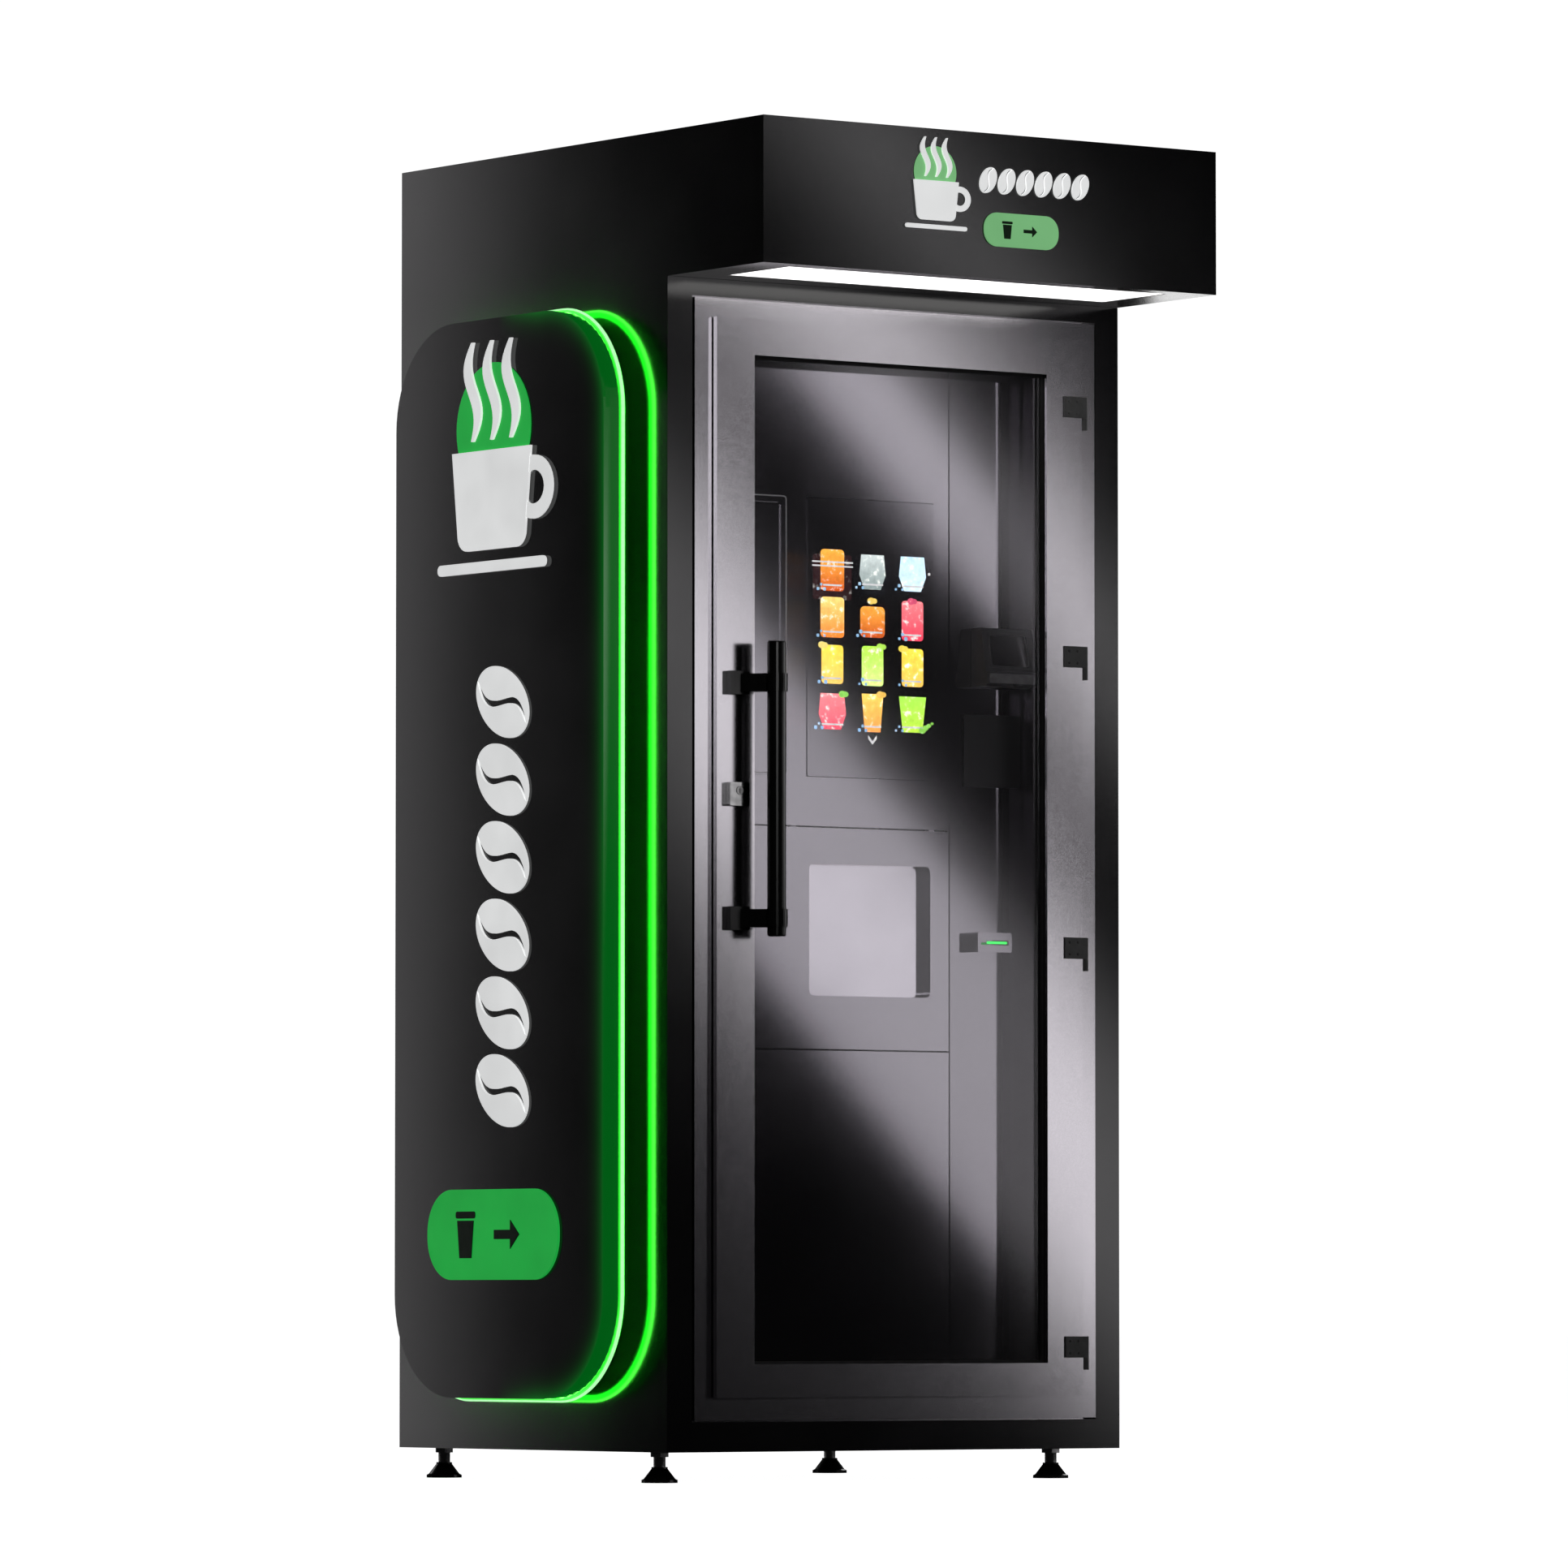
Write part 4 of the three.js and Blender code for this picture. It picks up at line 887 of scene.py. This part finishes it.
def terminal_face():
    """The terminal's tilted glass in its rim, and the light lip below it."""
    low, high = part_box("card_terminal")
    x = (low.x + high.x) / 2
    tilt_low = Vector((x, low.y + 5 * MM, low.z + 26 * MM))
    tilt_high = Vector((x, low.y + 17 * MM, high.z - 3 * MM))
    matrix = face_matrix((tilt_low + tilt_high) / 2, (1, 0, 0), tilt_high - tilt_low)
    outer = rounded_outline(88 * MM, 62 * MM, 5 * MM, 5)
    inner = rounded_outline(80 * MM, 54 * MM, 4 * MM, 5)
    rim = slab_outline(outer, 1.6 * MM, (inner[::-1],))
    bevel(shown("terminal_rim", "cabinet", TERMINAL_BLACK, rim, matrix), 0.4 * MM)
    glass = slab_outline(inner, 0.6 * MM)
    bevel(shown("terminal_glass", "cabinet", GLOSS_BLACK, glass, matrix), 0.2 * MM, 1)
    lip = slab_outline(rounded_outline(100 * MM, 17 * MM, 3 * MM, 4), 0.8 * MM)
    matrix = face_matrix((x, low.y, low.z + 13.5 * MM), (1, 0, 0), (0, 0, 1))
    bevel(shown("terminal_lip", "cabinet", LIP_GREY, lip, matrix), 0.3 * MM, 1)


def menu_edge():
    """A thin bright line round the menu frame's face."""
    low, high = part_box("menu_frame")
    width, height = high.x - low.x, high.z - low.z
    outer = rounded_outline(width - 4 * MM, height - 4 * MM, 7 * MM, 6)
    inner = rounded_outline(width - 8 * MM, height - 8 * MM, 5 * MM, 6)[::-1]
    line = slab_outline(outer, 0.5 * MM, (inner,))
    matrix = face_matrix(((low.x + high.x) / 2, low.y, (low.z + high.z) / 2), (1, 0, 0), (0, 0, 1))
    shown("menu_edge_line", "cabinet", EDGE_GREY, line, matrix)


def reader_light():
    """The green line along the note slot."""
    low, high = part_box("reader_bezel")
    x = (low.x + high.x) / 2 + 4 * MM
    matrix = face_matrix((x, low.y, low.z + 16.5 * MM), (1, 0, 0), (0, 0, 1))
    line = slab_outline(rounded_outline(44 * MM, 4.2 * MM, 2 * MM, 4), 0.6 * MM)
    shown("reader_light_line", "cabinet", SLOT_GREEN, line, matrix)


def handle_ends():
    """Thin crowned caps that close the pull tube."""
    low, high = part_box("handle_tube")
    centre = (low + high) / 2
    radius = (high.x - low.x) / 2
    rim, crown = radius * 0.985, radius * 0.9
    for end, z, way in (("top", high.z, 1), ("bottom", low.z, -1)):
        profile = [(0, 0), (rim, 0), (rim, 1.2 * MM), (crown, 2.8 * MM), (0, 3.0 * MM)]
        matrix = Matrix.Translation((centre.x, centre.y, z)) @ Matrix.Scale(way, 4, (0, 0, 1))
        name = f"handle_cap_{end}"
        cap = shown(name, "door", HANDLE_BLACK, lathe(profile, 32), matrix)
        if way < 0:
            cap.data.flip_normals()
        shade_smooth(cap)


def foot_threads():
    """A thread on each levelling stem, and a hexagon nut against the cabinet."""
    radius, pitch = 10 * MM, 2.5 * MM
    ridge = ((0.15, 0.1 * MM), (0.5, 0.9 * MM), (0.85, 0.1 * MM))
    cabinet_low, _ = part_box("base_frame")
    for name in FEET:
        low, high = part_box(name)
        x, y = (low.x + high.x) / 2, (low.y + high.y) / 2
        stem_low, stem_high = low.z + 27.5 * MM, cabinet_low.z - 0.5 * MM
        turns = int((stem_high - stem_low) / pitch)
        top = stem_low + turns * pitch
        profile = [(0, stem_low), (radius - 0.8 * MM, stem_low)]
        for turn in range(turns):
            z = stem_low + turn * pitch
            profile += [(radius + out, z + share * pitch) for share, out in ridge]
        profile += [(radius - 0.8 * MM, top), (0, top)]
        matrix = Matrix.Translation((x, y, 0))
        shade_smooth(shown(name + "_thread", "cabinet", ZINC, lathe(profile, 28), matrix))
        bore = ellipse_outline(19.5 * MM, 19.5 * MM, 24)[::-1]
        nut = slab_outline(ellipse_outline(34 * MM, 34 * MM, 6), 8 * MM, (bore,))
        matrix = Matrix.Translation((x, y, stem_high - 8.5 * MM))
        bevel(shown(name + "_nut", "cabinet", ZINC, nut, matrix), 0.5 * MM)


LOUVRE_DEPTH = 6 * MM
LOUVRE_DROP = 11 * MM
LOUVRE_MARGIN = 6 * MM
# Count, height of the lowest one, pitch and half width. The intake's height is from the panel's lower edge,
# the outlet's from the floor.
INTAKE_LOUVRES = (9, 0.197, 26 * MM, 0.150)
OUTLET_LOUVRES = (5, 2.0855, 20 * MM, 0.045)


def back_louvres():
    """A pressed hood over each slot of the back panel."""
    low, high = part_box("back_panel")
    x = (low.x + high.x) / 2
    count, first, pitch, half = INTAKE_LOUVRES
    rows = [(low.z + first + pitch * row, half) for row in range(count)]
    count, first, pitch, half = OUTLET_LOUVRES
    rows += [(first + pitch * row, half) for row in range(count)]
    steps = 5
    for index, (z, half) in enumerate(rows):
        builder = bmesh.new()
        bends = []
        for step in range(steps + 1):
            angle = math.radians(90 * step / steps)
            y = high.y + LOUVRE_DEPTH * math.sin(angle)
            up = z + LOUVRE_DROP * math.cos(angle)
            ends = (x - half - LOUVRE_MARGIN, x + half + LOUVRE_MARGIN)
            bends.append([builder.verts.new((end, y, up)) for end in ends])
        for (left, right), (next_left, next_right) in zip(bends, bends[1:]):
            builder.faces.new((left, right, next_right, next_left))
        piece = shown(f"back_louvre_{index + 1}", "cabinet", BLACK, builder)
        piece.modifiers.new("sheet", "SOLIDIFY").thickness = 1 * MM
        shade_smooth(piece)


SCREW_MARGIN = 10 * MM
SCREW_END = 60 * MM
PANEL_SCREW = 4.5 * MM


def panel_screws():
    """Rows of screws that hold the back panel and the roof."""
    low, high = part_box("back_panel")
    for side, x in (("left", low.x + SCREW_MARGIN), ("right", high.x - SCREW_MARGIN)):
        for index in range(7):
            z = low.z + SCREW_END + index * (high.z - low.z - 2 * SCREW_END) / 6
            screw(f"back_screw_{side}_{index + 1}", "cabinet", (x, high.y, z), (0, 1, 0), PANEL_SCREW, BLACK)
    low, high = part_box("roof_panel")
    for side, x in (("left", low.x + SCREW_MARGIN), ("right", high.x - SCREW_MARGIN)):
        for index in range(5):
            y = low.y + SCREW_END + index * (high.y - low.y - 2 * SCREW_END) / 4
            screw(f"roof_screw_{side}_{index + 1}", "cabinet", (x, y, high.z), (0, 0, 1), PANEL_SCREW, BLACK)


hinge_screws()
terminal_face()
menu_edge()
reader_light()
handle_ends()
foot_threads()
back_louvres()
panel_screws()


# ---- stage -----------------------------------------------------------------------------------------------
def stage_floor():
    """A white floor that shows to the camera and throws no light on the kiosk."""
    builder = bmesh.new()
    bmesh.ops.create_grid(builder, x_segments=1, y_segments=1, size=60.0)
    data = bpy.data.meshes.new("floor")
    builder.to_mesh(data)
    builder.free()
    floor = bpy.data.objects.new("floor", data)
    bpy.context.scene.collection.objects.link(floor)
    s = Surface("floor_white")
    s.colour(s.mix(s.spread(s.noise(0.6), 0.0, 1.0), grey(0.90), grey(0.92)))
    s.rough(s.spread(s.noise(3.0), 0.8, 0.9))
    s.glow(grey(1.0), 1.0)
    floor.data.materials.append(s.material)
    floor.visible_diffuse = False
    floor.visible_glossy = False


def world_light():
    """White backdrop for the camera, a dim even fill for everything else."""
    world = bpy.data.worlds.new("studio")
    bpy.context.scene.world = world
    world.use_nodes = True
    tree = world.node_tree
    tree.nodes.clear()
    out = tree.nodes.new("ShaderNodeOutputWorld")
    mix = tree.nodes.new("ShaderNodeMixShader")
    ray = tree.nodes.new("ShaderNodeLightPath")
    fill = tree.nodes.new("ShaderNodeBackground")
    fill.inputs["Color"].default_value = (0.50, 0.50, 0.52, 1)
    fill.inputs["Strength"].default_value = WORLD_FILL
    white = tree.nodes.new("ShaderNodeBackground")
    white.inputs["Color"].default_value = grey(1.0)
    white.inputs["Strength"].default_value = BACKDROP
    tree.links.new(ray.outputs["Is Camera Ray"], mix.inputs["Fac"])
    tree.links.new(fill.outputs["Background"], mix.inputs[1])
    tree.links.new(white.outputs["Background"], mix.inputs[2])
    tree.links.new(mix.outputs["Shader"], out.inputs["Surface"])


def soft_box(name, centre, aim, size, power, colour=(1, 1, 1), roll=0.0):
    light = bpy.data.lights.new(name, "AREA")
    light.shape = "RECTANGLE"
    light.size, light.size_y = size
    light.energy = power
    light.color = colour
    lamp = bpy.data.objects.new(name, light)
    bpy.context.scene.collection.objects.link(lamp)
    centre = Vector(centre)
    turn = (Vector(aim) - centre).to_track_quat("-Z", "Y").to_matrix().to_4x4()
    lamp.matrix_world = Matrix.Translation(centre) @ turn @ Matrix.Rotation(math.radians(roll), 4, "Z")


def mirrored(point, axis, distance):
    """Where a lamp stands so that the camera sees it mirrored at a point of a face square to the axis."""
    ray = (Vector(point) - CAMERA_PLACE).normalized()
    ray[axis] = -ray[axis]
    return Vector(point) + ray * distance


def sheen(name, point, axis, size, radiance, roll=0.0, fade=(0.0, 0.0), layers=4):
    """A soft box that shows as a patch of sheen at a point of the kiosk, in the camera's view.

    It is a stack of lamps, each narrower than the one before, so that its edges fade.
    """
    for layer in range(layers):
        share = layer / (layers - 1)
        wide, tall = (side - 2 * edge * share for side, edge in zip(size, fade))
        power = math.pi * radiance / layers * wide * tall
        place = mirrored(point, axis, LAMP_DISTANCE + LAYER_GAP * layer)
        soft_box(f"{name}_{layer + 1}", place, point, (wide, tall), power, (1.0, 0.98, 1.0), roll)


def studio():
    """Two slanted bands in the door, a sheen that grows along the left wall, and fill from all sides."""
    door_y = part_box("door_glass")[0].y
    wall_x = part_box("left_side_panel")[0].x
    for name, (z, width, radiance) in (("band_upper", UPPER_BAND), ("band_lower", LOWER_BAND)):
        sheen(name, (BAND_X, door_y, z), 1, (BAND_LENGTH, width), radiance, BAND_ROLL, BAND_FADE)
    for step, (edge, radiance) in enumerate(WALL_STEPS):
        width = WALL_SHEEN_END - edge
        place = (wall_x, edge + width / 2, WALL_SHEEN_MIDDLE)
        size = (width, WALL_SHEEN_HEIGHT)
        sheen(f"wall_sheen_{step + 1}", place, 0, size, radiance, fade=(0.03, 0.1), layers=2)
    soft_box("front_fill", (-3.4, -5.6, 2.9), (0.0, 0.0, 1.2), (1.6, 2.8), 45.0)
    soft_box("roof_fill", (1.6, 2.2, 5.0), (0.0, 0.5, 2.2), (1.6, 1.6), 16.0)
    soft_box("right_fill", (4.6, -1.6, 2.4), (0.4, 0.5, 1.2), (1.2, 2.6), 20.0)
    soft_box("back_left", (-1.0, 6.0, 2.4), (0.0, 0.5, 1.2), (1.2, 2.6), 14.0)
    soft_box("back_right", (4.2, 3.5, 2.4), (0.2, 0.2, 1.2), (1.2, 2.6), 14.0)


def camera():
    data = bpy.data.cameras.new("camera")
    data.lens = CAMERA_LENS
    data.sensor_width = CAMERA_SENSOR
    data.clip_end = 200.0
    eye = bpy.data.objects.new("camera", data)
    bpy.context.scene.collection.objects.link(eye)
    flat = math.cos(CAMERA_PITCH)
    look = Vector((-math.sin(CAMERA_AZIMUTH) * flat, math.cos(CAMERA_AZIMUTH) * flat, math.sin(CAMERA_PITCH)))
    turn = look.to_track_quat("-Z", "Y").to_matrix().to_4x4()
    eye.matrix_world = Matrix.Translation(CAMERA_PLACE) @ turn
    bpy.context.scene.camera = eye


stage_floor()
world_light()
studio()
camera()
bpy.context.scene.view_settings.view_transform = "Standard"
bpy.context.scene.view_settings.look = "None"
